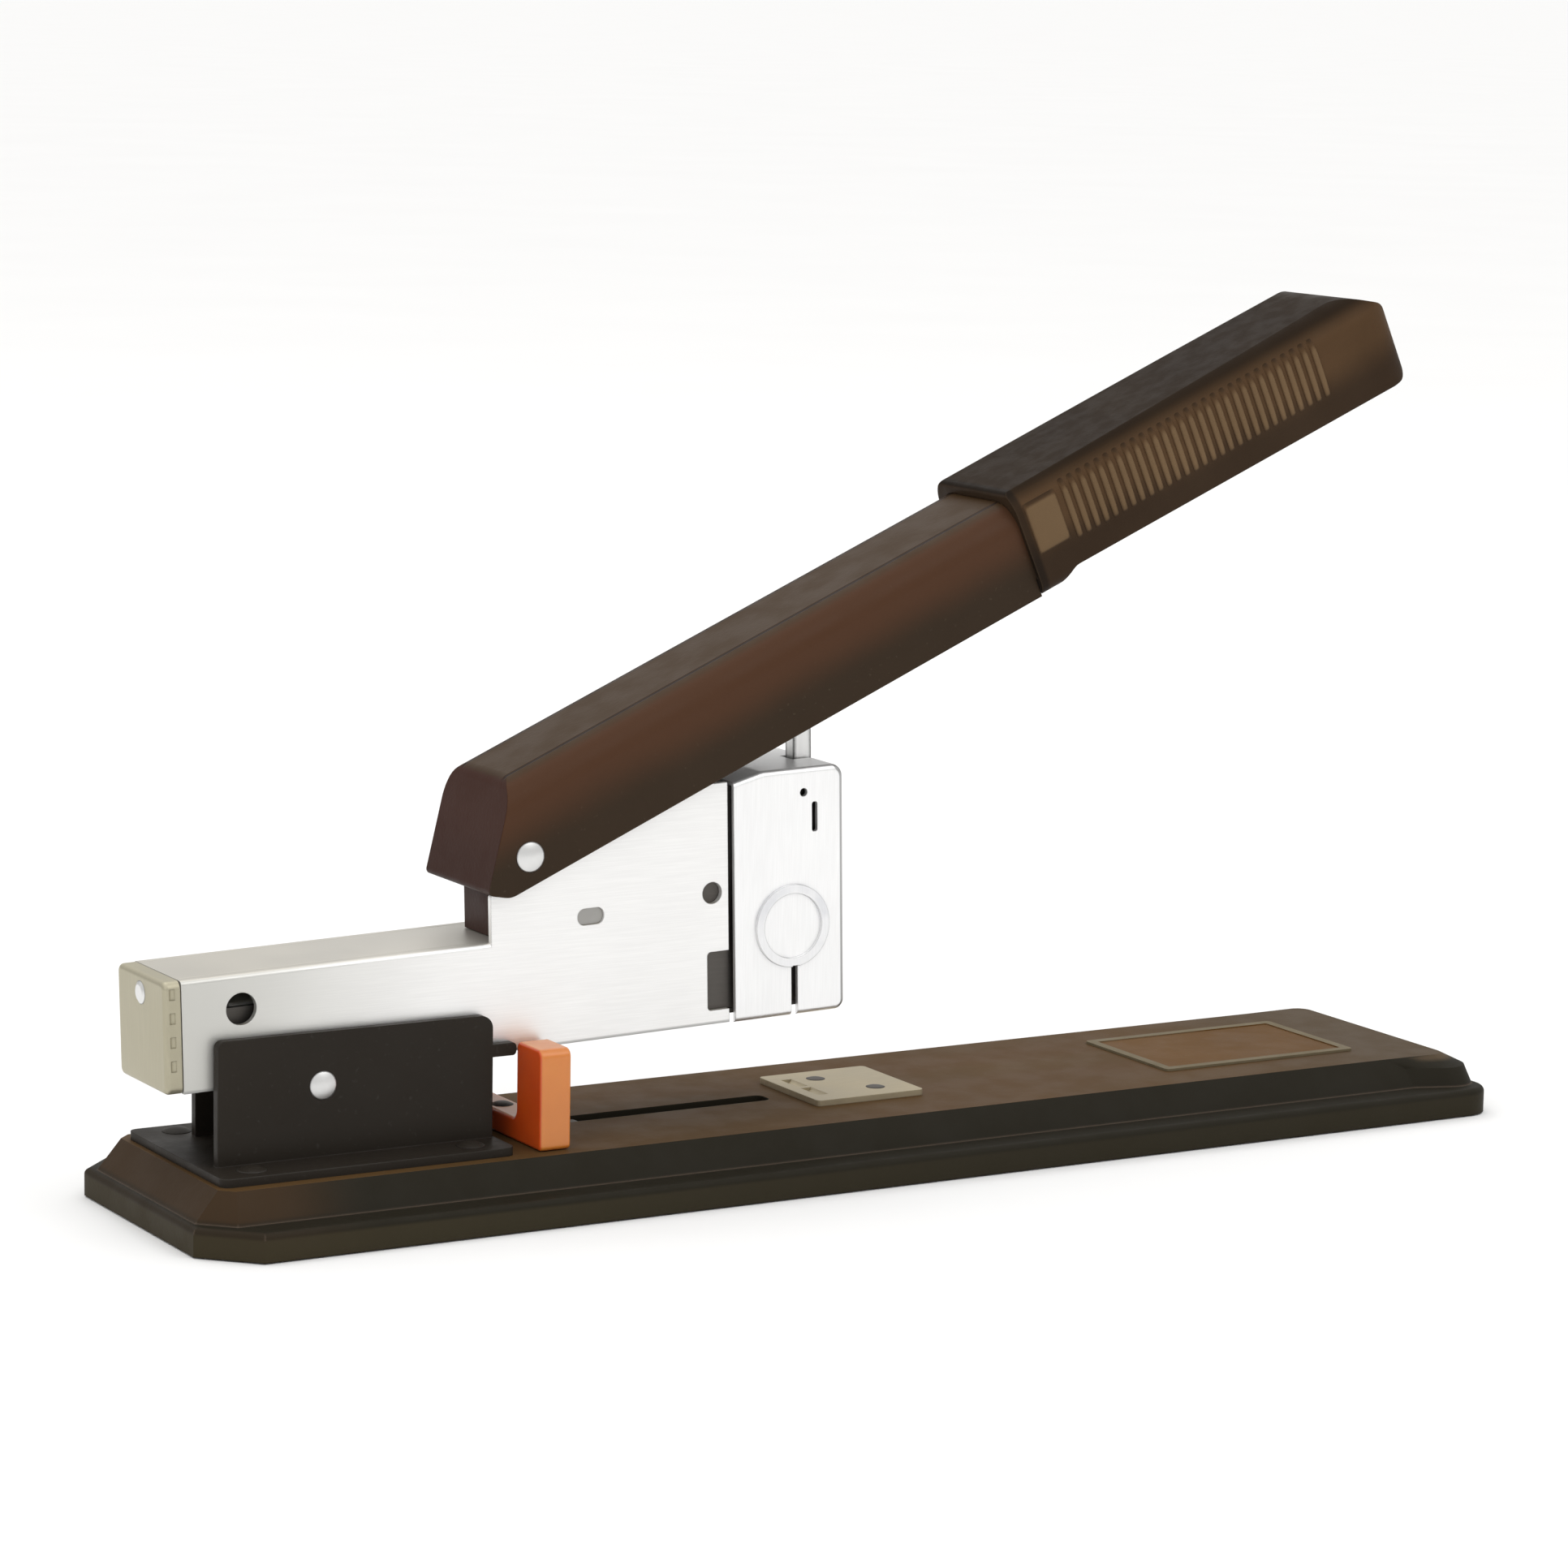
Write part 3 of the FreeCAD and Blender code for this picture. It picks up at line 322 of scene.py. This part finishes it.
def base_paint():
    """Brown enamel on the flat top of the tray, lighter towards the mouth end as painted sheen;
    near-black painted shade down its sides, painted light on its lower skirt and rear corner bevel, and a
    painted highlight along its ledge.
    """
    finish, body, roughness, peel = paint("base_enamel", (0.085, 0.047, 0.017), (0.15, 0.11, 0.075),
                                          0.2, (0.5, 0.62))
    streak = finish.noise(26.0, 4.0, (0.35, 3.0, 1.0))
    body = finish.mix(finish.span(streak, 0.42, 0.7, 0.0, 0.5), body, shade((0.092, 0.046, 0.018)))
    # Painted sheen: the top turns lighter and greyer towards the mouth end.
    front_sheen = finish.span(finish.x, 85 * MM, 130 * MM, 0.0, 0.8)
    body = finish.mix(front_sheen, body, shade((0.078, 0.056, 0.034)))
    # Painted shade: everything below the flat top, down the sides, is made near-black brown, while the
    # top keeps the lit brown.
    level = finish.span(finish.facing((0.0, 0.0, 1.0)), 0.72, 0.93)
    low = finish.span(finish.z, base_high.z - 1.2 * MM, base_high.z - 0.4 * MM)
    top = finish.maths("MULTIPLY", level, low)
    body = finish.mix(top, shade((0.0175, 0.0148, 0.0092)), body)
    rear = finish.span(finish.x, base_low.x + 14 * MM, base_low.x + 34 * MM, 1.0, 0.0)
    bevel = finish.span(finish.z, LEDGE_HEIGHT, LEDGE_HEIGHT + 1.0 * MM, 0.3, 1.0)
    towards_corner = finish.span(finish.facing((-0.7, -0.7, 0.2)), 0.1, 0.75, 0.0, 0.7)
    lit = finish.maths("MULTIPLY", rear, towards_corner)
    body = finish.mix(finish.maths("MULTIPLY", lit, bevel), body, shade((0.055, 0.03, 0.0135)))
    # Painted light: the lower skirt, below the ledge, is made lighter, most of all towards the rear.
    lower_skirt_light = finish.maths("MULTIPLY", finish.span(finish.z, 4.0 * MM, 4.8 * MM, 0.7, 0.0),
                         finish.span(finish.x, base_low.x, base_low.x + 180 * MM, 1.0, 0.4))
    body = finish.mix(lower_skirt_light, body, shade((0.045, 0.036, 0.019)))
    # Painted highlight: a lighter line along the ledge's edge.
    ledge = finish.band(finish.z, 5.2 * MM, 0.6 * MM, 0.5 * MM)
    ledge_highlight = finish.maths("MULTIPLY", finish.edges(0.8 * MM, 0.1), ledge)
    body = finish.mix(finish.maths("MULTIPLY", ledge_highlight, 0.75), body, shade((0.12, 0.088, 0.066)))
    return finish.surface(body, roughness, peel, 0.025 * MM, 0.35 * MM)


def black_paint():
    finish, body, roughness, peel = paint("black_enamel", (0.024, 0.0198, 0.0155), (0.07, 0.066, 0.06))
    return finish.surface(body, roughness, peel, 0.03 * MM, 0.25 * MM)


def plate_paint():
    """Name plate: brown field inside a pale metal rim, no marks."""
    low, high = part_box("name_plate")
    centre = (low + high) / 2
    inner_x = (high.x - low.x) / 2 - PLATE_RIM
    inner_y = high.y - PLATE_RIM
    finish, field, roughness, grain = paint("plate_enamel", (0.118, 0.058, 0.0165), (0.2, 0.16, 0.11),
                                            0.2, (0.5, 0.62))
    along = finish.span(finish.maths("ABSOLUTE", finish.maths("SUBTRACT", finish.x, centre.x)),
                        inner_x, inner_x + 0.2 * MM)
    across = finish.span(finish.maths("ABSOLUTE", finish.y), inner_y, inner_y + 0.2 * MM)
    edge = finish.maths("MAXIMUM", along, across)
    tarnish = finish.mix(finish.noise(160.0, 4.0), shade((0.12, 0.095, 0.052)),
                         shade((0.19, 0.155, 0.1)))
    return finish.surface(finish.mix(edge, field, tarnish), roughness, grain, 0.02 * MM, 0.12 * MM)


def black_plastic():
    """Moulded plastic with a fine spark-eroded grain and faint flow marks."""
    colour = (0.02, 0.019, 0.018)
    finish = Finish("black_plastic", specular=0.4)
    cloud = finish.noise(55.0, 4.0)
    body = finish.mix(cloud, shade(colour, 0.8), shade(colour, 1.2))
    rub = finish.maths("MULTIPLY", finish.edges(0.5 * MM, 0.25), 0.25)
    body = finish.mix(rub, body, shade(colour, 2.4))
    level = finish.span(finish.noise(240.0, 3.0), 0.3, 0.7, 0.38, 0.52)
    return finish.surface(body, level, finish.noise(2600.0, 2.0), 0.03 * MM, 0.3 * MM)


def grip_plastic():
    """Brown grip of one plastic: painted shade on top, low down its sides and round its mouth, with
    warmer painted light higher up its sides and a painted highlight on its ribs and pads.
    """
    finish = Finish("grip_plastic", specular=0.03)
    cloud = finish.noise(42.0, 4.0)
    raised = finish.span(finish.maths("ABSOLUTE", finish.y), GRIP_SIDE + 0.05 * MM, GRIP_SIDE + 0.4 * MM)
    wander = finish.maths("MULTIPLY", cloud, 3 * MM)
    height = finish.maths("ADD", finish.along(HANDLE_UP, HANDLE_PIN), wander)
    # Painted shade and painted light on one plastic: the side is darker low down and warmer and lighter
    # higher up.
    low = finish.mix(cloud, shade((0.03, 0.018, 0.011), 0.9), shade((0.044, 0.028, 0.017), 1.1))
    side_light = finish.mix(cloud, shade((0.064, 0.036, 0.018), 0.9), shade((0.1, 0.057, 0.029), 1.1))
    # Painted highlight: a lighter copy of the same brown, for the proud ribs and pads.
    proud = finish.mix(cloud, shade((0.125, 0.08, 0.043), 0.9), shade((0.165, 0.106, 0.057), 1.1))
    side = finish.mix(finish.span(height, 2 * MM, 10 * MM), low, side_light)
    side = finish.mix(raised, side, proud)
    # Painted shade: upward faces of the sleeve are made darker.
    top_shade = finish.span(finish.facing(HANDLE_UP), 0.3, 0.8)
    body = finish.mix(top_shade, side, finish.mix(cloud, shade((0.014, 0.0085, 0.0055)),
                                              shade((0.03, 0.019, 0.0105))))
    # Painted shade: a dark band along the sleeve's front rim, where it sits in shadow.
    mouth = finish.span(finish.along(HANDLE_ALONG, HANDLE_PIN),
                        GRIP_MOUTH + 1.2 * MM, GRIP_MOUTH + 2.2 * MM, 0.7, 0.0)
    body = finish.mix(mouth, body, shade((0.012, 0.009, 0.007)))
    rub = finish.maths("MULTIPLY", finish.edges(0.5 * MM, 0.25), 0.3)
    body = finish.mix(rub, body, shade((0.16, 0.115, 0.075)))
    level = finish.span(finish.noise(260.0, 3.0), 0.3, 0.7, 0.36, 0.5)
    return finish.surface(body, level, finish.noise(2400.0, 2.0), 0.03 * MM, 0.5 * MM)


def orange_plastic():
    """Glossy translucent orange, with redder, deeper painted shade on the face towards the hinge."""
    finish = Finish("orange_plastic", specular=0.55, coat=0.35, coat_roughness=0.08)
    finish.shader.inputs["Subsurface Weight"].default_value = 0.15
    finish.shader.inputs["Subsurface Scale"].default_value = 0.004
    finish.shader.inputs["Subsurface Radius"].default_value = (1.0, 0.35, 0.08)
    cloud = finish.noise(130.0, 4.0)
    body = finish.mix(cloud, shade((0.57, 0.17, 0.025)), shade((0.68, 0.23, 0.035)))
    # Painted shade: faces turned towards the hinge end are deeper and redder.
    back = finish.span(finish.facing((-1.0, 0.0, 0.0)), 0.3, 0.85)
    body = finish.mix(back, body, finish.mix(cloud, shade((0.54, 0.055, 0.006)),
                                             shade((0.68, 0.095, 0.01))))
    level = finish.span(finish.noise(90.0, 3.0), 0.3, 0.7, 0.28, 0.36)
    return finish.surface(body, level, finish.noise(500.0, 2.0), 0.02 * MM, 0.4 * MM)


def rubber():
    finish = Finish("foot_rubber", specular=0.25)
    body = finish.mix(finish.noise(200.0, 5.0), shade((0.02, 0.019, 0.018)),
                      shade((0.045, 0.042, 0.04)))
    level = finish.span(finish.noise(700.0, 3.0), 0.3, 0.7, 0.7, 0.9)
    return finish.surface(body, level, finish.noise(3000.0, 3.0), 0.04 * MM, 0.2 * MM)


# ---------------------------------------------------------------- metals

METAL_ROUNDING = 0.2 * MM


def metal(name, colour, roughness, grain, dull=0.8, metallic=1.0):
    """Plated or ground steel with a directional grain, faint smudges and painted shade along its edges.
    """
    finish = Finish(name, metallic=metallic)
    smudge = finish.noise(45.0, 5.0)
    body = finish.mix(smudge, shade(colour, dull), shade(colour))
    lines = finish.noise(160.0, 6.0, grain)
    body = finish.mix(finish.span(lines, 0.35, 0.7, 0.25, 0.0), body, shade(colour, dull * 0.82))
    # Painted shade: sharp edges are darkened, standing for the dark they reflect.
    body = finish.mix(finish.maths("MULTIPLY", finish.edges(0.35 * MM, 0.25), 0.6), body,
                      shade(colour, 0.35))
    low, high = roughness
    patches = finish.span(smudge, 0.3, 0.7, low, high)
    level = finish.maths("ADD", patches, finish.maths("MULTIPLY", lines, 0.06))
    return finish, body, level, lines


def plain_metal(name, colour, roughness, grain, brush=0.012 * MM, **options):
    """A metal with nothing added; brush is the depth of its grain."""
    finish, body, level, lines = metal(name, colour, roughness, grain, **options)
    return finish.surface(body, level, lines, brush, METAL_ROUNDING)


def head_steel():
    """Satin nickel plate, with a painted shade line along each top bend of the head's channel and along
    its lower edge, and painted shade towards the rear and on its upward faces.
    """
    finish, body, level, lines = metal(
        "satin_nickel", (0.97, 0.965, 0.955), (0.3, 0.42), (0.6, 30.0, 30.0), dull=0.96, metallic=0.72)
    # Painted shade: darker towards the rear end of the head.
    rear_shade = finish.span(finish.x, base_low.x + 4 * MM, base_low.x + 66 * MM, 0.95, 0.0)
    body = finish.mix(rear_shade, body, shade((0.58, 0.575, 0.54)))
    away = finish.maths("ABSOLUTE", finish.y)
    # Painted shade: a dark line along each top bend, also pressed in as a fine groove.
    crease_shade = finish.band(away, HEAD_CREASE, 0.12 * MM, 0.2 * MM)
    body = finish.mix(finish.maths("MULTIPLY", crease_shade, 0.6), body, shade((0.3, 0.29, 0.26)))
    # Painted shade: a dark line along the lower edge of the cheeks.
    lift = finish.along(HEAD_UP, head_point(0.0, 0.0, HEAD_BOTTOM))
    bottom_edge_shade = finish.maths("MULTIPLY", finish.band(lift, 0.0, 0.25 * MM, 0.45 * MM), 0.75)
    body = finish.mix(bottom_edge_shade, body, shade((0.34, 0.34, 0.33)))
    # Painted shade: upward faces are made greyer and warmer.
    top_shade = finish.span(finish.facing((0.0, 0.0, 1.0)), 0.7, 0.97, 0.0, 0.8)
    body = finish.mix(top_shade, body, shade((0.56, 0.53, 0.465)))
    height = finish.maths("SUBTRACT", finish.maths("MULTIPLY", lines, 0.1), crease_shade)
    return finish.surface(body, level, height, 0.1 * MM, METAL_ROUNDING)


def nose_nickel():
    """Bright nickel on the nose cover, with painted shade round its front bends and on its pressed ring.
    """
    finish, body, level, lines = metal(
        "nose_nickel", (0.97, 0.97, 0.97), (0.28, 0.36), (30.0, 30.0, 0.8), dull=0.97, metallic=0.78)
    # Painted shade: faces turned part way towards the mouth end, round the front bends, are made grey.
    bend = finish.band(finish.facing((1.0, 0.0, 0.0)), 0.55, 0.38, 0.1)
    body = finish.mix(finish.maths("MULTIPLY", bend, 0.8), body, shade((0.3, 0.3, 0.3)))
    middle = head_point(RING_FROM_REAR, 0.0, RING_HEIGHT)
    across = finish.along((1.0, 0.0, 0.0), middle)
    upward = finish.along((0.0, 0.0, 1.0), middle)
    squares = finish.maths("ADD", finish.maths("MULTIPLY", across, across),
                           finish.maths("MULTIPLY", upward, upward))
    ring = finish.band(finish.maths("SQRT", squares), RING_RADIUS, 0.3 * MM, 1.3 * MM)
    # Painted shade: the pressed ring is made greyer and bluer, in uneven patches.
    rubbed = finish.span(finish.noise(110.0, 3.0), 0.38, 0.62, 0.2, 0.65)
    body = finish.mix(finish.maths("MULTIPLY", ring, rubbed), body, shade((0.62, 0.63, 0.67)))
    return finish.surface(body, level, lines, 0.006 * MM, METAL_ROUNDING)


def plunger_steel():
    """Ground bar, bright down the middle of each face, with painted dark reflection towards its corners,
    which are rounded off.
    """
    finish, body, level, lines = metal(
        "plunger_steel", (0.86, 0.86, 0.85), (0.28, 0.36), (30.0, 30.0, 0.8), dull=0.95, metallic=0.85)
    # Painted reflection: faces darken towards the corners, standing for the dark that a rounded bar
    # reflects at its sides.
    corner = finish.edges(1.3 * MM, 0.1)
    body = finish.mix(finish.maths("MULTIPLY", corner, 0.95), body, shade((0.05, 0.048, 0.045)))
    return finish.surface(body, level, lines, 0.006 * MM, 0.5 * MM)


def make_materials():
    """One material for each of the record's slots."""
    return {
        "brown_paint": handle_paint(),
        "black_paint": black_paint(),
        "plate_paint": plate_paint(),
        "grip_plastic": grip_plastic(),
        "black_plastic": black_plastic(),
        "orange_plastic": orange_plastic(),
        "rubber": rubber(),
        "bright_steel": head_steel(),
        "bright_chrome": plain_metal("bright_nickel", (0.96, 0.96, 0.96), (0.28, 0.36), (30.0, 30.0, 0.8),
                                     0.006 * MM, dull=0.97, metallic=0.82),
        "plated_steel": plain_metal("zinc_plate", (0.85, 0.85, 0.84), (0.29, 0.4), (1.0, 1.0, 1.0)),
        "anvil_steel": plain_metal("anvil_nickel", (0.56, 0.48, 0.33), (0.36, 0.52), (1.0, 24.0, 1.0),
                                   0.02 * MM, dull=0.62, metallic=0.7),
        "dark_steel": plain_metal("blackened_steel", (0.13, 0.12, 0.11), (0.36, 0.55), (1.0, 1.0, 14.0)),
        "spring_steel": plain_metal("spring_wire", (0.42, 0.41, 0.4), (0.29, 0.42), (1.0, 1.0, 1.0)),
        "staple_wire": plain_metal("staple_wire", (0.74, 0.74, 0.74), (0.29, 0.4), (1.0, 1.0, 8.0)),
    }


def paint_cad_nodes(materials):
    """Give every CAD node the material of its slot in the record, or its own where it has one."""
    own = {
        "base_tray": base_paint(),
        "nose_housing": nose_nickel(),
        "plunger": plunger_steel(),
        # Painted shade: the rear cap takes a darker, warmer copy of the head's nickel, for its end facing
        # the hinge.
        "rear_cap": plain_metal("cap_nickel_shaded", (0.48, 0.445, 0.33), (0.34, 0.46), (1.0, 30.0, 1.0),
                                dull=0.86, metallic=0.75),
        "tie_bar": plain_metal("tie_steel", (0.42, 0.41, 0.39), (0.3, 0.45), (1.0, 1.0, 1.0)),
    }
    for subpart in frame["record"]["subparts"]:
        node = frame["nodes"][subpart["node"]]
        chosen = own.get(subpart["node"], materials[subpart["material_slot"]])
        if not node.material_slots:
            node.data.materials.append(chosen)
        for slot in node.material_slots:
            slot.material = chosen


# ---------------------------------------------------------------- pieces

def make_piece(name, mesh, body, slot, materials, smooth=40.0):
    """Put a mesh in the scene, riding on a CAD body, with the material of a record slot."""
    data = bpy.data.meshes.new(name)
    bmesh.ops.recalc_face_normals(mesh, faces=mesh.faces)
    mesh.to_mesh(data)
    mesh.free()
    piece = bpy.data.objects.new(name, data)
    bpy.context.scene.collection.objects.link(piece)
    data.materials.append(materials[slot])
    data.shade_smooth()
    data.set_sharp_from_angle(angle=math.radians(smooth))
    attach(piece, body)
    return piece


def skin(mesh, rings):
    """Join rings of points, one after another, into a closed tube with capped ends."""
    loops = [[mesh.verts.new(point) for point in ring] for ring in rings]
    for first, second in zip(loops, loops[1:]):
        for index in range(len(first)):
            following = (index + 1) % len(first)
            mesh.faces.new((first[index], first[following], second[following], second[index]))
    mesh.faces.new(loops[0])
    mesh.faces.new(list(reversed(loops[-1])))


def sleeve_outline(up):
    """How far out the sleeve's side is at a height, and which way it faces there, as (across, up)."""
    if up <= GRIP_BEND_START:
        return GRIP_SIDE, (1.0, 0.0)
    rise = (up - GRIP_BEND_START) / GRIP_BEND
    out = math.sqrt(1.0 - rise * rise)
    return GRIP_SIDE - GRIP_BEND + GRIP_BEND * out, (out, rise)


def add_rib(mesh, along, side):
    """One rounded rib that runs up the sleeve's side and over the start of its bend."""
    steps = 14
    rings = []
    for step in range(steps + 1):
        share = step / steps
        up = RIB_LOW + (RIB_HIGH - RIB_LOW) * share
        out, facing = sleeve_outline(up)
        swell = max(math.sin(math.pi * share), 0.0) ** 0.3
        ring = []
        for turn in range(9):
            angle = math.pi * turn / 8
            wide = -math.cos(angle) * RIB_WIDTH / 2
            high = (math.sin(angle) * RIB_RISE + 0.05 * MM) * swell - 0.1 * MM
            ring.append((wide, high))
        ring += [(RIB_WIDTH / 2, -SUNK), (-RIB_WIDTH / 2, -SUNK)]
        rings.append([handle_point(along + wide, side * (out + high * facing[0]), up + high * facing[1])
                      for wide, high in ring])
    skin(mesh, rings)


def grip_ribs(materials):
    """The row of ribs on each side of the sleeve."""
    for name, side in (("near", -1), ("far", 1)):
        mesh = bmesh.new()
        for number in range(RIB_COUNT):
            add_rib(mesh, RIB_FIRST + number * RIB_PITCH, side)
        make_piece(f"grip_ribs_{name}", mesh, "handle", "grip_plastic", materials)


def grip_pads(materials):
    """Smooth raised pad in front of the ribs, on each side of the sleeve."""
    for name, side in (("near", -1), ("far", 1)):
        mesh = bmesh.new()
        steps = 16
        rings = []
        for step in range(steps + 1):
            up = PAD_LOW + PAD_HEIGHT * step / steps
            out, facing = sleeve_outline(up)
            ends = min(step, steps - step) / 2.0
            rise = PAD_RISE * min(1.0, math.sqrt(ends)) - 0.04 * MM
            profile = [(0.0, -SUNK), (0.0, rise * 0.3), (0.06, rise * 0.85), (0.14, rise),
                       (0.86, rise), (0.94, rise * 0.85), (1.0, rise * 0.3), (1.0, -SUNK)]
            ring = [(PAD_START + (PAD_END - PAD_START) * share, high) for share, high in profile]
            rings.append([handle_point(along, side * (out + high * facing[0]), up + high * facing[1])
                          for along, high in ring])
        skin(mesh, rings)
        make_piece(f"grip_pad_{name}", mesh, "handle", "grip_plastic", materials)


def staple_line(half, top, bend):
    """Up one leg, over the crown and down the other, as (across, height)."""
    return [(-half, STRIP_LOW), (-half, top - bend), (-half + bend, top),
            (half - bend, top), (half, top - bend), (half, STRIP_LOW)]


def add_staple(mesh, rear, front):
    """One staple astride the rail: two legs and a crown of square wire, mitred at its bends."""
    inner = STRIP_HALF - WIRE
    under = STRIP_TOP - WIRE
    outside = staple_line(STRIP_HALF, STRIP_TOP, WIRE_BEND)
    inside = staple_line(inner, under, WIRE_INNER_BEND)
    rings = [[head_point(rear, *out), head_point(front, *out), head_point(front, *within),
              head_point(rear, *within)] for out, within in zip(outside, inside)]
    skin(mesh, rings)


def staple_wires(materials):
    """The strip as separate staples side by side, with a hair's gap between them."""
    mesh = bmesh.new()
    count = round((STRIP_FRONT - STRIP_REAR) / WIRE)
    pitch = (STRIP_FRONT - STRIP_REAR) / count
    for number in range(count):
        rear = STRIP_REAR + number * pitch
        add_staple(mesh, rear + STAPLE_GAP, rear + pitch - STAPLE_GAP)
    piece = make_piece("staple_wires", mesh, "head", "staple_wire", materials)
    rounding = piece.modifiers.new("wire_rounding", "BEVEL")
    rounding.width = 0.12 * MM
    rounding.segments = 2
    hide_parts("staple_strip")


def add_coil(mesh, start, axis, length, radius, wire, turns):
    """Coil of round wire from start along an axis, with its two end coils closed."""
    side = Vector((0.0, 1.0, 0.0))
    third = axis.cross(side)
    closed = 0.75
    stretch = length - wire - 2 * closed * wire
    steps = round(turns * 28)
    rings = []
    for step in range(steps + 1):
        turn = turns * step / steps
        ends = min(turn, closed) + max(turn - (turns - closed), 0.0)
        opened = min(max(turn - closed, 0.0) / (turns - 2 * closed), 1.0)
        angle = 2 * math.pi * turn
        out = side * math.cos(angle) + third * math.sin(angle)
        middle = start + axis * (wire / 2 + wire * ends + stretch * opened) + out * radius
        rings.append([middle + (out * math.cos(around) + axis * math.sin(around)) * wire / 2
                      for around in (2 * math.pi * corner / 8 for corner in range(8))])
    skin(mesh, rings)


def spring(name, replaced, body, place, size, materials):
    """A coil in place of a CAD spring, riding on the given body."""
    start, axis = place
    mesh = bmesh.new()
    add_coil(mesh, start, axis, *size)
    piece = make_piece(name, mesh, body, "spring_steel", materials)
    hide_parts(replaced)
    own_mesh(piece)


def springs(materials):
    """The three coil springs; each size is length, coil radius, wire and turns."""
    low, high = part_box("head_spring")
    foot = Vector(((low.x + high.x) / 2, 0.0, low.z))
    spring("head_coil", "head_spring", "base", (foot, UPRIGHT),
           (high.z - low.z, *HEAD_COIL), materials)
    seat = head_point(RETURN_SEAT[0], 0.0, RETURN_SEAT[1])
    spring("return_coil", "return_spring", "head", (seat, HEAD_UP),
           RETURN_COIL, materials)
    plug = head_point(PUSHER_SEAT[0], 0.0, PUSHER_SEAT[1])
    spring("pusher_coil", "pusher_spring", "loader", (plug, HEAD_ALONG),
           PUSHER_COIL, materials)


# ---------------------------------------------------------------- stage, light and camera

def make_floor():
    """A wide white floor that the object stands on."""
    half = 60.0
    mesh = bmesh.new()
    corners = [mesh.verts.new((x * half, y * half, 0.0))
               for x, y in ((-1, -1), (1, -1), (1, 1), (-1, 1))]
    mesh.faces.new(corners)
    data = bpy.data.meshes.new("floor")
    mesh.to_mesh(data)
    mesh.free()
    floor = bpy.data.objects.new("floor", data)
    bpy.context.scene.collection.objects.link(floor)
    finish = Finish("floor_paper", specular=0.1)
    tone = finish.mix(finish.noise(6.0, 3.0), shade((0.9, 0.9, 0.9)), shade((0.93, 0.93, 0.93)))
    finish.link(tone, finish.shader.inputs["Base Color"])
    finish.shader.inputs["Roughness"].default_value = 0.95
    data.materials.append(finish.material)


def make_sky():
    """Soft light from all round, brighter overhead than at the horizon."""
    world = bpy.data.worlds.new("studio")
    bpy.context.scene.world = world
    world.use_nodes = True
    tree = world.node_tree
    coords = tree.nodes.new("ShaderNodeTexCoord")
    parts = tree.nodes.new("ShaderNodeSeparateXYZ")
    tree.links.new(coords.outputs["Generated"], parts.inputs["Vector"])
    ramp = tree.nodes.new("ShaderNodeMapRange")
    ramp.inputs["From Min"].default_value = 0.0
    ramp.inputs["From Max"].default_value = 0.8
    ramp.inputs["To Min"].default_value = 0.4
    ramp.inputs["To Max"].default_value = 1.25
    tree.links.new(parts.outputs["Z"], ramp.inputs["Value"])
    tree.links.new(ramp.outputs["Result"], tree.nodes["Background"].inputs["Strength"])
    tree.nodes["Background"].inputs["Color"].default_value = (1.0, 0.995, 0.985, 1.0)


def add_light(name, place, size, power, target=(0.0, 0.0, 0.06)):
    """A round area light that looks at the target."""
    data = bpy.data.lights.new(name, "AREA")
    data.shape = "DISK"
    data.size = size
    data.energy = power
    light = bpy.data.objects.new(name, data)
    light.location = place
    light.rotation_euler = (Vector(target) - Vector(place)).to_track_quat("-Z", "Y").to_euler()
    bpy.context.scene.collection.objects.link(light)


def make_camera():
    """Camera at the photograph's viewing angle."""
    azimuth, elevation = CAMERA_AZIMUTH, CAMERA_ELEVATION
    back = Vector((math.sin(azimuth) * math.cos(elevation), -math.cos(azimuth) * math.cos(elevation),
                   math.sin(elevation)))
    level = Vector((math.cos(azimuth), math.sin(azimuth), 0.0))
    up = back.cross(level)
    right = level * math.cos(CAMERA_ROLL) + up * math.sin(CAMERA_ROLL)
    up = back.cross(right)
    data = bpy.data.cameras.new("camera")
    data.lens = CAMERA_LENS
    data.sensor_width = CAMERA_SENSOR
    data.clip_end = 200.0
    camera = bpy.data.objects.new("camera", data)
    turn = Matrix((right, up, back)).transposed().to_4x4()
    camera.matrix_world = Matrix.Translation(CAMERA_PLACE) @ turn
    bpy.context.scene.collection.objects.link(camera)
    bpy.context.scene.camera = camera


materials = make_materials()
paint_cad_nodes(materials)
grip_ribs(materials)
grip_pads(materials)
staple_wires(materials)
springs(materials)
make_floor()
make_sky()
add_light("key", (0.55, -1.1, 1.1), 0.9, 3.0)
add_light("overhead", (-0.1, 0.5, 1.5), 1.2, 3.0)
add_light("fill", (-1.3, -0.9, 0.7), 0.9, 1.5)
make_camera()
bpy.context.scene.view_settings.view_transform = "Standard"
